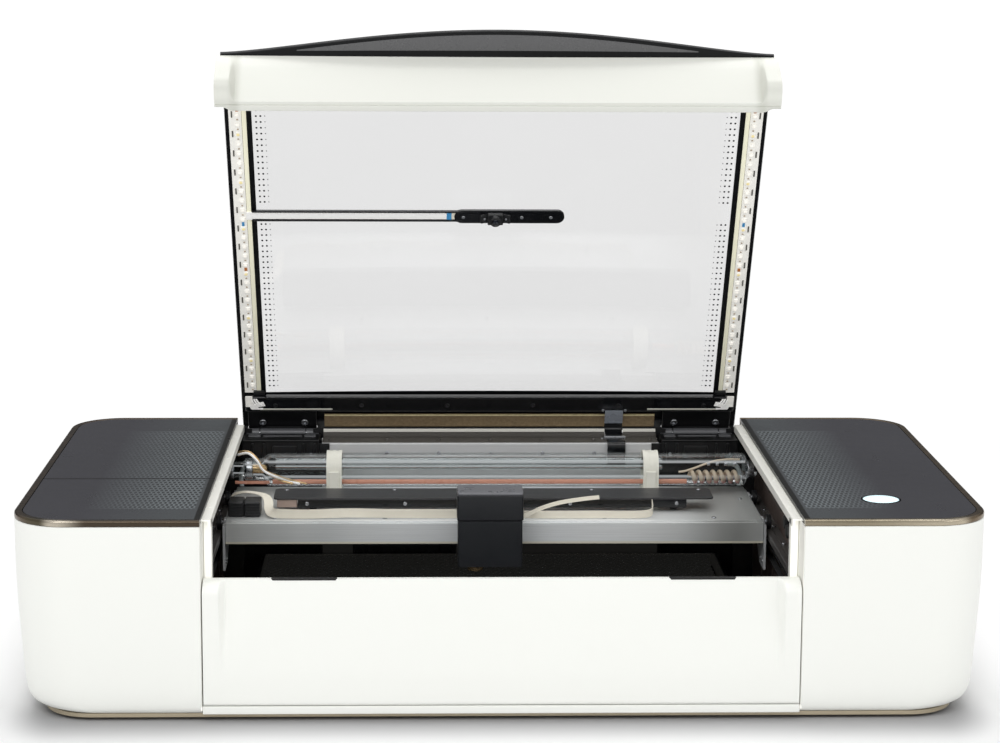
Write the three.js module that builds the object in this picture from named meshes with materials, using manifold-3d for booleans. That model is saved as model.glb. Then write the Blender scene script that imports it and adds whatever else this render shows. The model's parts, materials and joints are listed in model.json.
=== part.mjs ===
// Desktop laser cutter, as an assembly of separate pieces.
// Millimetres, +Z up, +Y towards the back.
// The pieces are set out from the centre of the body's footprint, on the table, and the whole machine then
// stands FRAME_SHIFT further forward, so that the origin is under the centre of the box round it with its lid open.
// The lid is modelled closed and stands in a group turned to its rest angle, open.
import * as THREE from 'three';
import { mergeVertices } from 'three/addons/utils/BufferGeometryUtils.js';
import Module from 'manifold-3d';

const wasm = await Module();
wasm.setup();

// ---------- driving dimensions ----------
const HALF_W = 482.5;            // half of the overall width
const HALF_D = 263.5;            // half of the body depth
const H_TOP = 203.2;             // top of the two side pods
const POD_X = 295.5;             // inner edge of each pod
const CORNER_R = 57;             // plan radius of the outer corners
const SHELL_T = 3;               // moulded wall thickness
const SHELL_Z0 = 7.3;            // underside of the shells
const SHELL_Z1 = 197;            // top of the shells, under the bezel
const BEZEL_W = 8;               // width of the metallic bezel
const BASE_Z0 = 3, BASE_Z1 = 7;  // base plate
const DOOR_HALF = 294;           // half width of the door and of the lid's front bar
const JOINT_Z = 139.7;           // height of the joint between door and lid bar
const DOOR_Z0 = 16;              // bottom of the door
const SCOOP = 20;                // depth of the finger scoop at the joint
const SCOOP_Z0 = 46;             // where the scoop starts on the door
const DOOR_ROUND_Z = 128;        // where the door's cheeks start to round back
const BAR_ROUND_Z = 156;         // where the bar's cheeks start to round back
const BAR_IN_Y = -236;           // inner face of the lid's front bar
const BAR_GAP = 2.5;             // joint gap the door's top edge swings through
const DOOR_IN_Y = -226;          // inner face of the door
const DOOR_PIN = [-259.5, 20];   // y, z of the door's hinge line
const LID_PIN = [256.7, 186.1];  // y, z of the lid's hinge line
const LID_OPEN = 59.25;          // degrees open at rest
const LID_HALF = 290;            // half width of the lid glass
const GLASS_Z = 198;             // underside of the closed glass at its side edges
const GLASS_T = 4;
const CROWN = 3;                 // rise of the glass at its centre line
const VISOR = 27;                // how far the glass bows past the front bar
const WALL_X = 312;              // inner face of the chamber walls
const BEAM_Y = 8;                // front face of the gantry beam
const BEAM_HALF = 292;           // half length of the gantry beam
const DECK_Z = 136.3;            // top of the gantry deck
const DECK_Y1 = 190;             // rear edge of the gantry deck
const TUBE = [163, 162.4];       // y, z of the laser tube's axis
const TUBE_R = 19;
const HEAD = [-42, 29, -34, 7.4, 97.6, 179];   // x0, x1, y0, y1, z0, z1 of the print head
const BUTTON = [386, -170.6];    // x, y of the power button
const BUTTON_R = 19.5;
const FAN = [-100, 98];          // x, z of the exhaust fan's axis
const PLENUM_Y = 206;            // front face of the exhaust duct
const FRAME_SHIFT = 5.054;       // the open lid reaches further back than the body's front
const WHEEL_R = 8, WHEEL_Z = 132.4;
const PULLEY_R = 6.4;

// ---------- helpers ----------
const V3 = (x, y, z) => new THREE.Vector3(x, y, z);

function solid(geometry) {
  const g = geometry.clone();
  for (const k of Object.keys(g.attributes)) if (k !== 'position') g.deleteAttribute(k);
  const m = mergeVertices(g, 1e-4);
  const s = new wasm.Manifold(new wasm.Mesh({
    numProp: 3,
    vertProperties: new Float32Array(m.attributes.position.array),
    triVerts: new Uint32Array(m.index.array),
  }));
  return s;
}
function toGeometry(s) {
  const m = s.getMesh();
  const g = new THREE.BufferGeometry();
  g.setAttribute('position', new THREE.BufferAttribute(new Float32Array(m.vertProperties), 3));
  g.setIndex(new THREE.BufferAttribute(new Uint32Array(m.triVerts), 1));
  g.computeVertexNormals();
  return g;
}
const box = (x0, x1, y0, y1, z0, z1) => {
  const g = new THREE.BoxGeometry(x1 - x0, y1 - y0, z1 - z0);
  g.translate((x0 + x1) / 2, (y0 + y1) / 2, (z0 + z1) / 2);
  return solid(g);
};
// polygon extruded along an axis: 'z' takes (x, y), 'x' takes (y, z), 'y' takes (x, z)
function prism(points, axis, a, b, holes = []) {
  const s = new THREE.Shape(points.map((p) => new THREE.Vector2(p[0], p[1])));
  for (const h of holes) s.holes.push(new THREE.Path(h.map((p) => new THREE.Vector2(p[0], p[1]))));
  const g = new THREE.ExtrudeGeometry(s, { depth: b - a, bevelEnabled: false, steps: 1, curveSegments: 12 });
  const m = new THREE.Matrix4();
  if (axis === 'z') m.makeTranslation(0, 0, a);
  if (axis === 'x') m.makeBasis(V3(0, 1, 0), V3(0, 0, 1), V3(1, 0, 0)).setPosition(a, 0, 0);
  if (axis === 'y') m.makeBasis(V3(1, 0, 0), V3(0, 0, 1), V3(0, -1, 0)).setPosition(0, b, 0);
  g.applyMatrix4(m);
  return solid(g);
}
const circle = (cx, cy, r, n, from = 0, to = Math.PI * 2) => {
  const full = Math.abs(to - from - Math.PI * 2) < 1e-9;
  const out = [];
  for (let i = 0; i < (full ? n : n + 1); i++) {
    const t = from + ((to - from) * i) / n;
    out.push([cx + r * Math.cos(t), cy + r * Math.sin(t)]);
  }
  return out;
};
const disc = (axis, cx, cy, r, a, b, n = 24) => prism(circle(cx, cy, r, n), axis, a, b);
const ring = (axis, cx, cy, ro, ri, a, b, n = 24) =>
  prism(circle(cx, cy, ro, n), axis, a, b, [circle(cx, cy, ri, n).reverse()]);
function roundRect(x0, x1, y0, y1, r, n = 5) {
  return [
    ...circle(x1 - r, y0 + r, r, n, -Math.PI / 2, 0),
    ...circle(x1 - r, y1 - r, r, n, 0, Math.PI / 2),
    ...circle(x0 + r, y1 - r, r, n, Math.PI / 2, Math.PI),
    ...circle(x0 + r, y0 + r, r, n, Math.PI, Math.PI * 1.5),
  ];
}
// a body through matching closed rings of points; flat = the two coordinates its end caps are triangulated in
function loft(rings, flat) {
  const n = rings[0].length, pos = [], idx = [];
  for (const r of rings) for (const p of r) pos.push(...p);
  for (let i = 0; i + 1 < rings.length; i++) {
    for (let j = 0; j < n; j++) {
      const a = i * n + j, b = i * n + ((j + 1) % n), c = a + n, d = b + n;
      idx.push(a, b, d, a, d, c);
    }
  }
  for (const end of [0, rings.length - 1]) {
    const pts = rings[end].map((p) => new THREE.Vector2(p[flat[0]], p[flat[1]]));
    const area = THREE.ShapeUtils.area(pts);
    const order = pts.map((_, k) => k);
    if (area < 0) { pts.reverse(); order.reverse(); }
    const tris = THREE.ShapeUtils.triangulateShape(pts, []);
    // the side walls use ring edge j -> j+1 on the first ring, so the first cap runs the other way
    for (const t of tris) {
      const [a, b, c] = t.map((k) => order[k] + end * n);
      const same = area > 0;
      if ((end === 0) === same) idx.push(a, c, b); else idx.push(a, b, c);
    }
  }
  let vol = 0;
  const P = (k) => V3(pos[3 * k], pos[3 * k + 1], pos[3 * k + 2]);
  for (let i = 0; i < idx.length; i += 3) vol += P(idx[i]).dot(P(idx[i + 1]).cross(P(idx[i + 2])));
  if (vol < 0) for (let i = 0; i < idx.length; i += 3) [idx[i + 1], idx[i + 2]] = [idx[i + 2], idx[i + 1]];
  const g = new THREE.BufferGeometry();
  g.setAttribute('position', new THREE.Float32BufferAttribute(pos, 3));
  g.setIndex(idx);
  return solid(g);
}
const mirrorX = (s) => s.mirror([1, 0, 0]);
const union = (...s) => s.reduce((a, b) => a.add(b));
const smooth = (a, b, x) => { const t = Math.min(1, Math.max(0, (x - a) / (b - a))); return t * t * (3 - 2 * t); };

const root = new THREE.Group();
const lid = new THREE.Group();
const LOOKS = {
  white: [0xf4f4ef, 0.45, 0.0], bezel: [0x8a7d66, 0.3, 0.9], panel: [0x2b2b2f, 0.15, 0.0],
  base: [0x8d8474, 0.5, 0.3], black: [0x17181a, 0.5, 0.0], steel: [0xa8abad, 0.35, 0.9],
  dark: [0x303236, 0.5, 0.4], glass: [0xdfe6e8, 0.05, 0.0], clamp: [0xeeeee6, 0.6, 0.0],
  rubber: [0x1c1c1c, 0.9, 0.0], strip: [0xf2efe4, 0.6, 0.0], tan: [0x7a6a4c, 0.9, 0.0],
  green: [0x1f5a3a, 0.6, 0.1], tank: [0xdfe3e4, 0.4, 0.0], button: [0xe6f6f8, 0.35, 0.0],
  brass: [0xb08d57, 0.35, 0.9], belt: [0x222222, 0.8, 0.0], head: [0x202226, 0.45, 0.0],
};
function put(name, s, look, parent = root) {
  const [color, roughness, metalness] = LOOKS[look];
  const mesh = new THREE.Mesh(toGeometry(s), new THREE.MeshStandardMaterial({ color, roughness, metalness }));
  mesh.name = name;
  parent.add(mesh);
  return mesh;
}

// ---------- side pods ----------
// plan outline of the right pod, drawn in by dx on the outer side and dy at front and back
function podPlan(dx, dy, inner = POD_X, r = CORNER_R, n = 8) {
  const x1 = HALF_W - dx, y1 = HALF_D - dy;
  return [
    [inner, -y1],
    ...circle(x1 - r, -y1 + r, r, n, -Math.PI / 2, 0),
    ...circle(x1 - r, y1 - r, r, n, 0, Math.PI / 2),
    [inner, y1],
  ];
}
// [z, inset of the sides, inset of front and back]: sides lean in a little, the bottom edge is rounded
const LEVELS = [
  [7.3, 36, 10], [10, 26, 6.5], [14, 18, 4], [20, 12, 2.5], [28, 9, 1.6], [40, 7, 1.2],
  [68, 4.6, 0.8], [109, 1.8, 0.3], [150, 0.3, 0], [197, 0, 0],
];
const podRings = (levels, off, inner, z0, z1, r) =>
  levels.map(([z, dx, dy], i) => podPlan(dx + off, dy + off, inner, r)
    .map(([x, y]) => [x, y, i === 0 ? z0 : i === levels.length - 1 ? z1 : z]));
const shellOut = loft(podRings(LEVELS, 0, POD_X, SHELL_Z0, SHELL_Z1, CORNER_R), [0, 1]);
const shellIn = loft(podRings(LEVELS.map(([z, a, b]) => [z + SHELL_T, a, b]), SHELL_T, POD_X - 10,
  SHELL_Z0 + SHELL_T, SHELL_Z1 + 12, CORNER_R - SHELL_T), [0, 1]);
const shellR = shellOut.subtract(shellIn);
put('right_side_shell', shellR, 'white');
put('left_side_shell', mirrorX(shellR), 'white');

// metallic bezel round the front, outer side and back of each pod's top
const outerTop = podPlan(0, 0, POD_X, CORNER_R, 10);
const innerTop = podPlan(BEZEL_W, BEZEL_W, POD_X, CORNER_R - BEZEL_W, 10);
const bezelR = prism([...outerTop, ...innerTop.slice().reverse()], 'z', SHELL_Z1 + 0.3, H_TOP);
put('right_bezel', bezelR, 'bezel');
put('left_bezel', mirrorX(bezelR), 'bezel');

// dark glass top panels, 4 mm; the right one is cut for the button
const panelPlan = podPlan(BEZEL_W + 0.4, BEZEL_W + 0.4, POD_X, CORNER_R - BEZEL_W, 10);
const panel = prism(panelPlan, 'z', 199.1, 203.0);
put('right_top_panel', panel.subtract(disc('z', BUTTON[0], BUTTON[1], BUTTON_R + 0.7, 195, 206, 32)), 'panel');
put('left_top_panel', mirrorX(panel), 'panel');

// white inner trim: the front post and the ledge along the opening, with a flange under the panel
const trimR = union(
  prism([[287, 189], [290, 189], [290, 195.8], [314, 195.8], [314, 198.8], [295.2, 198.8], [295.2, 197.6], [287, 197.6]], 'y', -235, 246),
  box(287, 295.1, -224.5, -212.5, 16.2, 196),
);
put('right_inner_trim', trimR, 'white');
put('left_inner_trim', mirrorX(trimR), 'white');

// ---------- base, rear, floor ----------
const base = union(
  prism(roundRect(-455, 455, -256, 256, 50, 6), 'z', BASE_Z0, BASE_Z1),
  box(-250, -230, -170, -150, 6, 15.6), box(230, 250, -170, -150, 6, 15.6),
  box(-250, -230, 130, 150, 6, 15.6), box(230, 250, 130, 150, 6, 15.6),
);
put('base_pan', base, 'base');
for (const [n, x, y] of [['front_left', -400, -200], ['front_right', 400, -200], ['rear_left', -400, 200], ['rear_right', 400, 200]]) {
  put(`foot_${n}`, union(disc('z', x, y, 14, 0, 1.6, 24), disc('z', x, y, 11.5, 1.2, BASE_Z0 - 0.3, 24)), 'rubber');
}
put('front_sill', union(box(-295, 295, -262.6, -230, 7.3, 15.6), box(-284, 284, -236, -230, 7.3, 15.6)), 'white');
const rear = prism([[-295, 8], [295, 8], [295, 166], [197, 166], [197, 181], [-197, 181], [-197, 166], [-295, 166]], 'y', 248.3, 250.8)
  .subtract(disc('y', FAN[0], FAN[1], 54, 240, 260, 32));
put('rear_panel', rear, 'white');

// ---------- chamber ----------
const pulleyY = 186, pulleyZ = 99, idlerY = -196;
const wallR = union(
  box(WALL_X, WALL_X + 2, -211, 246, 10.8, 195.4),
  box(297.3, WALL_X + 0.5, -205, 204, 116, 124),                       // rail the gantry wheels roll on
  disc('x', pulleyY, pulleyZ, 2.4, 298.5, WALL_X + 0.5, 16),           // belt pulley shaft
  disc('x', idlerY, pulleyZ, PULLEY_R - 0.2, 300.2, WALL_X + 0.5, 20), // front idler
);
put('right_chamber_wall', wallR, 'dark');
put('left_chamber_wall', mirrorX(wallR), 'dark');
function beltLoop(y0, y1, z, r) {
  const t = 1.3;
  const out = [...circle(y1, z, r + t, 12, -Math.PI / 2, Math.PI / 2), ...circle(y0, z, r + t, 12, Math.PI / 2, Math.PI * 1.5)];
  const inn = [...circle(y1, z, r, 12, -Math.PI / 2, Math.PI / 2), ...circle(y0, z, r, 12, Math.PI / 2, Math.PI * 1.5)];
  return [out, inn.reverse()];
}
const [bo, bi] = beltLoop(idlerY, pulleyY, pulleyZ, PULLEY_R + 0.35);
const yBeltR = prism(bo, 'x', 301, 307, [bi]);
put('right_y_belt', yBeltR, 'belt');
put('left_y_belt', mirrorX(yBeltR), 'belt');
const yPulleyR = union(ring('x', pulleyY, pulleyZ, PULLEY_R, 2.8, 300.4, 307.6, 20), ring('x', pulleyY, pulleyZ, PULLEY_R + 3.2, 2.8, 307.6, 309, 20), ring('x', pulleyY, pulleyZ, PULLEY_R + 3.2, 2.8, 299.2, 300.5, 20));
put('right_y_pulley', yPulleyR, 'steel');
put('left_y_pulley', mirrorX(yPulleyR), 'steel');

// exhaust duct across the back: front wall, top and an upturned lip
const plenum = prism([[PLENUM_Y, 12], [PLENUM_Y + 2, 12], [PLENUM_Y + 2, 182], [246.6, 182], [246.6, 189.2], [244.4, 189.2], [244.4, 184], [PLENUM_Y, 184]], 'x', -195, 195)
  .subtract(box(-160, -40, 200, 212, 30, 150));
put('exhaust_plenum', plenum, 'steel');

// exhaust fan: housing with its outlet collar, and the impeller
const housing = union(
  prism(roundRect(FAN[0] - 62, FAN[0] + 62, FAN[1] - 62, FAN[1] + 62, 8, 4), 'y', 214, 240, [circle(FAN[0], FAN[1], 50, 32).reverse()]),
  ring('y', FAN[0], FAN[1], 52.5, 50, 239, 270, 32),
  box(FAN[0] - 55, FAN[0] + 55, 241.5, 244.5, FAN[1] - 3, FAN[1] + 3).intersect(disc('y', FAN[0], FAN[1], 51, 239, 250, 32)),
  disc('y', FAN[0], FAN[1], 16, 240.5, 245, 20),
  disc('y', FAN[0], FAN[1], 3, 220, 241, 16),
  box(FAN[0] - 51, FAN[0] - 47, 236, 245, FAN[1] - 3, FAN[1] + 3),
);
put('exhaust_fan_housing', housing, 'black');
let impeller = ring('y', FAN[0], FAN[1], 16, 3.5, 216.5, 238, 24);
for (let i = 0; i < 7; i++) {
  const b = new THREE.BoxGeometry(31, 1.8, 20);
  b.applyMatrix4(new THREE.Matrix4().makeTranslation(30.5, 0, 0)
    .premultiply(new THREE.Matrix4().makeRotationX(0.6)));
  // the blade is set out along x, twisted about it, then turned about the fan's axis, which lies along y
  b.applyMatrix4(new THREE.Matrix4().makeRotationY((i * 2 * Math.PI) / 7));
  b.translate(FAN[0], 227.5, FAN[1]);
  impeller = impeller.add(solid(b));
}
put('exhaust_impeller', impeller, 'black');

// ---------- inside the pods ----------
put('power_supply', union(box(-448, -338, -120, 110, 12, 76), box(-448, -338, -128, -119, 12, 40)), 'steel');
put('control_board', union(box(326, 452, -110, 60, 34, 36), box(340, 380, -60, -20, 35.8, 48), box(400, 440, -20, 30, 35.8, 44),
  box(330, 336, -105, -99, 12, 35), box(442, 448, -105, -99, 12, 35), box(330, 336, 49, 55, 12, 35), box(442, 448, 49, 55, 12, 35)), 'green');
put('coolant_reservoir', union(prism(roundRect(336, 436, 96, 216, 14, 4), 'z', 12, 122), disc('z', 360, 120, 16, 121, 134, 20)), 'tank');

// power button: a disc in the right panel with its stem
put('power_button', union(disc('z', BUTTON[0], BUTTON[1], BUTTON_R, 199.6, 203.9, 32), disc('z', BUTTON[0], BUTTON[1], 6, 188, 200, 16)), 'button');

// ---------- crumb tray and grid ----------
const trayBody = prism(roundRect(-264, 264, -214, 196, 8, 3), 'z', 16, 56)
  .subtract(prism(roundRect(-261, 261, -211, 193, 6, 3), 'z', 18, 60))
  .add(box(-263, 263, -213, -205, 17, 42)).add(box(-263, 263, 187, 195, 17, 42));
put('crumb_tray', trayBody, 'black');
put('honeycomb_grid', prism(roundRect(-260.4, 260.4, -210.4, 192.4, 5, 3), 'z', 42.4, 56), 'steel');

// ---------- front door ----------
const endFade = (x) => 1 - smooth(272, 279, Math.abs(x));
// the flush cheeks at both ends round back to the joint, and the scoop between them is hollowed deeper
const doorCheek = (z) => SCOOP * (1 - Math.sqrt(1 - Math.min(1, Math.max(0, (z - DOOR_ROUND_Z) / (JOINT_Z - DOOR_ROUND_Z))) ** 2));
const doorScoop = (z) => SCOOP * Math.pow(Math.min(1, Math.max(0, (z - SCOOP_Z0) / (JOINT_Z - SCOOP_Z0))), 1.35);
const doorDepth = (z, x) => doorCheek(z) + (Math.max(doorScoop(z), doorCheek(z)) - doorCheek(z)) * endFade(x);
const XS = [-DOOR_HALF, -279, -277, -275.5, -274, -272, -180, -90, 0, 90, 180, 272, 274, 275.5, 277, 279, DOOR_HALF];
const doorZ = [20, 46, 58, 70, 82, 94, 106, 118, 128, 132, 135.5, 138, 139.3, JOINT_Z];
const doorOuter = loft(XS.map((x) => [
  [x, -237, JOINT_Z], [x, DOOR_IN_Y, JOINT_Z - 3.4], [x, DOOR_IN_Y, DOOR_Z0],
  ...[-90, -112.5, -135, -157.5].map((a) => [x, DOOR_PIN[0] + 4 * Math.cos((a * Math.PI) / 180), DOOR_PIN[1] + 4 * Math.sin((a * Math.PI) / 180)]),
  ...doorZ.map((z) => [x, -HALF_D + doorDepth(z, x), z]),
]), [1, 2]);
const cavX = [-289, -268, -180, -90, 0, 90, 180, 268, 289];
const doorCavity = loft(cavX.map((x) => [
  [x, DOOR_IN_Y + 8, 132], [x, DOOR_IN_Y + 8, 27],
  ...[27, 50, 70, 90, 110, 132].map((z) => [x, -HALF_D + doorScoop(z) + 4.6, z]),
]), [1, 2]);
put('front_door', doorOuter.subtract(doorCavity), 'white');

// ---------- lid, modelled closed ----------
const crown = (x) => CROWN * Math.max(0, 1 - (x / LID_HALF) ** 2);
const glassFront = (x) => -HALF_D - 1.5 - VISOR * Math.max(0, 1 - (x / LID_HALF) ** 2) ** 1.55;
const glassXs = [];
for (let i = -12; i <= 12; i++) glassXs.push((LID_HALF * i) / 12);
put('lid_glass', loft(glassXs.map((x) => [
  [x, glassFront(x), GLASS_Z + crown(x)], [x, 258, GLASS_Z + crown(x)],
  [x, 258, GLASS_Z + crown(x) + GLASS_T], [x, glassFront(x), GLASS_Z + crown(x) + GLASS_T],
]), [1, 2]), 'glass', lid);
const barTop = (x) => GLASS_Z - 0.3 + crown(x);
const barCheek = (z) => SCOOP * (1 - Math.sqrt(1 - Math.min(1, Math.max(0, (BAR_ROUND_Z - z) / (BAR_ROUND_Z - JOINT_Z - BAR_GAP))) ** 2));
const barDepth = (t, x) => {
  const z = barTop(x) + (JOINT_Z + BAR_GAP - barTop(x)) * t;
  const c = barCheek(z);
  return c + (Math.max(c, SCOOP * Math.pow(t, 1.35)) - c) * endFade(x)
    + 3 * Math.max(0, 1 - (x / LID_HALF) ** 2) * (1 - smooth(0, 0.35, t));
};
const barT = [0, 0.14, 0.28, 0.42, 0.56, 0.68, 0.76, 0.84, 0.9, 0.95, 0.985, 1];
put('lid_front_bar', loft(XS.map((x) => [
  [x, BAR_IN_Y, JOINT_Z + BAR_GAP], [x, BAR_IN_Y, barTop(x)],
  ...barT.map((t) => [x, -HALF_D + barDepth(t, x), barTop(x) + (JOINT_Z + BAR_GAP - barTop(x)) * t]),
]), [1, 2]), 'white', lid);
put('lid_rear_bar', box(-285.5, 285.5, 205, 227.5, 189.6, 197.6), 'black', lid);
put('left_light_strip', box(-285.4, -266, -234, 204, 195.6, 197.6), 'strip', lid);
put('right_light_strip', box(266, 285.4, -234, 204, 195.6, 197.6), 'strip', lid);
put('camera_arm', union(
  prism(roundRect(-265.6, -30, -62.5, -48.5, 1, 1), 'z', 194, 197.6),
  prism(roundRect(-44, 77, -63.5, -46.5, 8, 5), 'z', 194, 197.6)), 'black', lid);
put('lid_camera', union(box(-16, 18, -62, -47.5, 188.5, 193.7), disc('z', 1, -54.8, 6.5, 184.2, 189, 20)), 'black', lid);
put('lid_rear_seal', box(-194, 194, 236, 256, 194.8, 197.6), 'tan', lid);

// hinges: a leaf with one knuckle on the lid, a bracket with two ears and the pin on the case
const PY = LID_PIN[0], PZ = LID_PIN[1];
const leafR = union(
  box(203, 283, 229, 262, 192.2, 197.6),
  box(224.4, 259.6, 252, 262, 186, 193),
  disc('x', PY, PZ, 5.4, 224.4, 259.6, 20),
).subtract(disc('x', PY, PZ, 2.9, 200, 290, 16));
put('right_hinge_leaf', leafR, 'black', lid);
put('left_hinge_leaf', mirrorX(leafR), 'black', lid);
const bracketR = union(
  box(198, 287, PLENUM_Y, 243, 160, 187.6),
  box(205, 223.8, 241, PY, 170, PZ), disc('x', PY, PZ, 5.4, 205, 223.8, 20),
  box(260.2, 279, 241, PY, 170, PZ), disc('x', PY, PZ, 5.4, 260.2, 279, 20),
  disc('x', PY, PZ, 2.5, 206, 278, 16),
).subtract(box(202, 283, PLENUM_Y + 3, 240, 150, 184));
put('right_hinge_bracket', bracketR, 'black');
put('left_hinge_bracket', mirrorX(bracketR), 'black');

const th = (LID_OPEN * Math.PI) / 180;
const turn = new THREE.Matrix4().makeTranslation(0, PY, PZ)
  .multiply(new THREE.Matrix4().makeRotationX(-th))
  .multiply(new THREE.Matrix4().makeTranslation(0, -PY, -PZ));
lid.applyMatrix4(turn);
root.add(lid);

// ---------- gantry ----------
const deck = union(
  prism([[BEAM_Y, 113], [22, 113], [22, 115.2], [BEAM_Y + 2.4, 115.2], [BEAM_Y + 2.4, DECK_Z - 2.4], [DECK_Y1 - 2.4, DECK_Z - 2.4],
    [DECK_Y1 - 2.4, 118], [DECK_Y1, 118], [DECK_Y1, DECK_Z], [BEAM_Y, DECK_Z]], 'x', -BEAM_HALF, BEAM_HALF),
  disc('z', 273, 50, PULLEY_R - 0.2, 117, DECK_Z - 1, 20),
).subtract(disc('z', -273, 50, 9.5, 130, 140, 20));
put('gantry_beam', deck, 'steel');
const plateR = union(
  prism([[6, 84], [40, 84], [60, 100], [150, 100], [170, 110], [186, 133.2], [6, 133.2]], 'x', 292.4, 294.8),
  disc('x', 30, WHEEL_Z, 2.5, 293, 303.4, 16), disc('x', 150, WHEEL_Z, 2.5, 293, 303.4, 16),
  box(293, 294.8, 24, 36, 125, 137), box(293, 294.8, 144, 156, 125, 137),
);
put('right_gantry_plate', plateR, 'steel');
put('left_gantry_plate', mirrorX(plateR), 'steel');
const wheel = (y) => ring('x', y, WHEEL_Z, WHEEL_R, 2.9, 297, 302.6, 24);
put('wheel_front_right', wheel(30), 'black');
put('wheel_rear_right', wheel(150), 'black');
put('wheel_front_left', mirrorX(wheel(30)), 'black');
put('wheel_rear_left', mirrorX(wheel(150)), 'black');

// laser tube: a glass body with stepped ends
const tubeProfile = [[0, -300], [7, -300], [9, -297], [9, -282], [13, -280], [13, -262], [TUBE_R - 3, -258], [TUBE_R, -252],
  [TUBE_R, 196], [TUBE_R - 3, 202], [13, 206], [13, 290], [9, 292], [9, 303], [0, 303]];
const tubeG = new THREE.LatheGeometry(tubeProfile.map(([r, a]) => new THREE.Vector2(r, a)), 24);
tubeG.applyMatrix4(new THREE.Matrix4().makeBasis(V3(0, 1, 0), V3(1, 0, 0), V3(0, 0, -1)).setPosition(0, TUBE[0], TUBE[1]));
put('laser_tube', solid(tubeG), 'glass');
const clampPlan = [[TUBE[0] - 22, DECK_Z + 0.3], [TUBE[0] + 22, DECK_Z + 0.3], ...circle(TUBE[0], TUBE[1], 22, 20, 0, Math.PI)];
const clamp = (x0, x1) => prism(clampPlan, 'x', x0, x1, [circle(TUBE[0], TUBE[1], TUBE_R + 0.6, 28).reverse()]);
put('left_tube_clamp', clamp(-187.7, -170.6), 'clamp');
put('right_tube_clamp', clamp(172, 189.2), 'clamp');

// cover plate over the optics path, with its folded front lip and three feet
put('cover_plate', union(
  box(-243, 243, 60, 110, 150, 152.4), box(-216, 213, 60, 62.2, 141.4, 151),
  box(-204, -196, 74, 104, DECK_Z + 0.3, 151), box(-4, 4, 74, 104, DECK_Z + 0.3, 151), box(196, 204, 74, 104, DECK_Z + 0.3, 151),
), 'dark');
// cross motor, its pulley under the deck, and the belt
put('x_motor', union(box(-291, -274.4, 36, 66, DECK_Z + 0.3, 153), box(-273.4, -256, 36, 66, DECK_Z + 0.3, 153), box(-280, -268, 38, 64, DECK_Z + 0.3, 150),
  disc('z', -273, 50, 2.4, 117, 140, 16)), 'black');
put('x_pulley', union(ring('z', -273, 50, PULLEY_R, 2.8, 117.4, 126.6, 20), ring('z', -273, 50, PULLEY_R + 3, 2.8, 126.6, 128, 20), ring('z', -273, 50, PULLEY_R + 3, 2.8, 116.2, 117.5, 20)), 'steel');
const [xo, xi] = beltLoop(-273, 273, 50, PULLEY_R + 0.35);
put('x_belt', prism(xo, 'z', 118.6, 124.6, [xi]), 'belt');

// ---------- head ----------
const [hx0, hx1, hy0, hy1, hz0, hz1] = HEAD;
put('head_cover', prism(roundRect(hx0, hx1, hy0, hy1, 2.5, 2), 'z', hz0, hz1)
  .subtract(prism(roundRect(hx0 + 2.5, hx1 - 2.5, hy0 + 2.5, hy1 - 2.5, 1, 1), 'z', hz0 - 5, hz1 - 3))
  .add(box(8.2, 11.8, hy0 + 1, hy1 - 1, 116, 119)).add(disc('z', 10, -13.3, 2.2, 101, 118, 16)), 'head');
let headFan = ring('z', 10, -13.3, 5, 2.7, 101.5, 113, 16);
for (let i = 0; i < 7; i++) {
  const b = new THREE.BoxGeometry(9, 1.2, 8);
  b.applyMatrix4(new THREE.Matrix4().makeRotationX(0.6));
  b.translate(8.6, 0, 0);
  b.applyMatrix4(new THREE.Matrix4().makeRotationZ((i * 2 * Math.PI) / 7));
  b.translate(10, -13.3, 107);
  headFan = headFan.add(solid(b));
}
put('head_fan', headFan, 'black');
put('lens_holder', ring('z', -22, -13.3, 10.5, 8, 90, 112, 24).add(ring('z', -22, -13.3, 8.6, 5, 90, 92.5, 24)), 'brass');

const machine = new THREE.Group();
root.position.y = -FRAME_SHIFT;
machine.add(root);
export default machine;
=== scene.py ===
import json
import math
import random

import bmesh
import bpy
from mathutils import Matrix, Vector
from mathutils.geometry import tessellate_polygon

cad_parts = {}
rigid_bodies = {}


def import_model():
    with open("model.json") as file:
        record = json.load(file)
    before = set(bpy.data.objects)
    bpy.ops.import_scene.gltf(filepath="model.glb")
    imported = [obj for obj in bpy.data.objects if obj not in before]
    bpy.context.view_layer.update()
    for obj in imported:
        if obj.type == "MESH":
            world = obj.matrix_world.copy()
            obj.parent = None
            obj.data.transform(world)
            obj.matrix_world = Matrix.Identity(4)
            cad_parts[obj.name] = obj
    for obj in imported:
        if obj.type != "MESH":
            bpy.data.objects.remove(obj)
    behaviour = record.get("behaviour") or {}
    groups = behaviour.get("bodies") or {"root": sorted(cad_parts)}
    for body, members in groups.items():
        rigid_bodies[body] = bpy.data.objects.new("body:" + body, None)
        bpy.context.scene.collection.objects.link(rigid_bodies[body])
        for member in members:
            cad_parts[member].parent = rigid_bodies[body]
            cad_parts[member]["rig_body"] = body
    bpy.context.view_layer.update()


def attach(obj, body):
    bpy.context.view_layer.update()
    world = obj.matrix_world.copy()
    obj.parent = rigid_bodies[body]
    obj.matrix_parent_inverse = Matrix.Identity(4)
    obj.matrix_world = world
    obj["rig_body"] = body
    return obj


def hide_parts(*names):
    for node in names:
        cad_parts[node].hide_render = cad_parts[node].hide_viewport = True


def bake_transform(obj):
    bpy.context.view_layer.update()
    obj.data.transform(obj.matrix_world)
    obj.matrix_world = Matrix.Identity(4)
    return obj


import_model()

random.seed(7)

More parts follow.
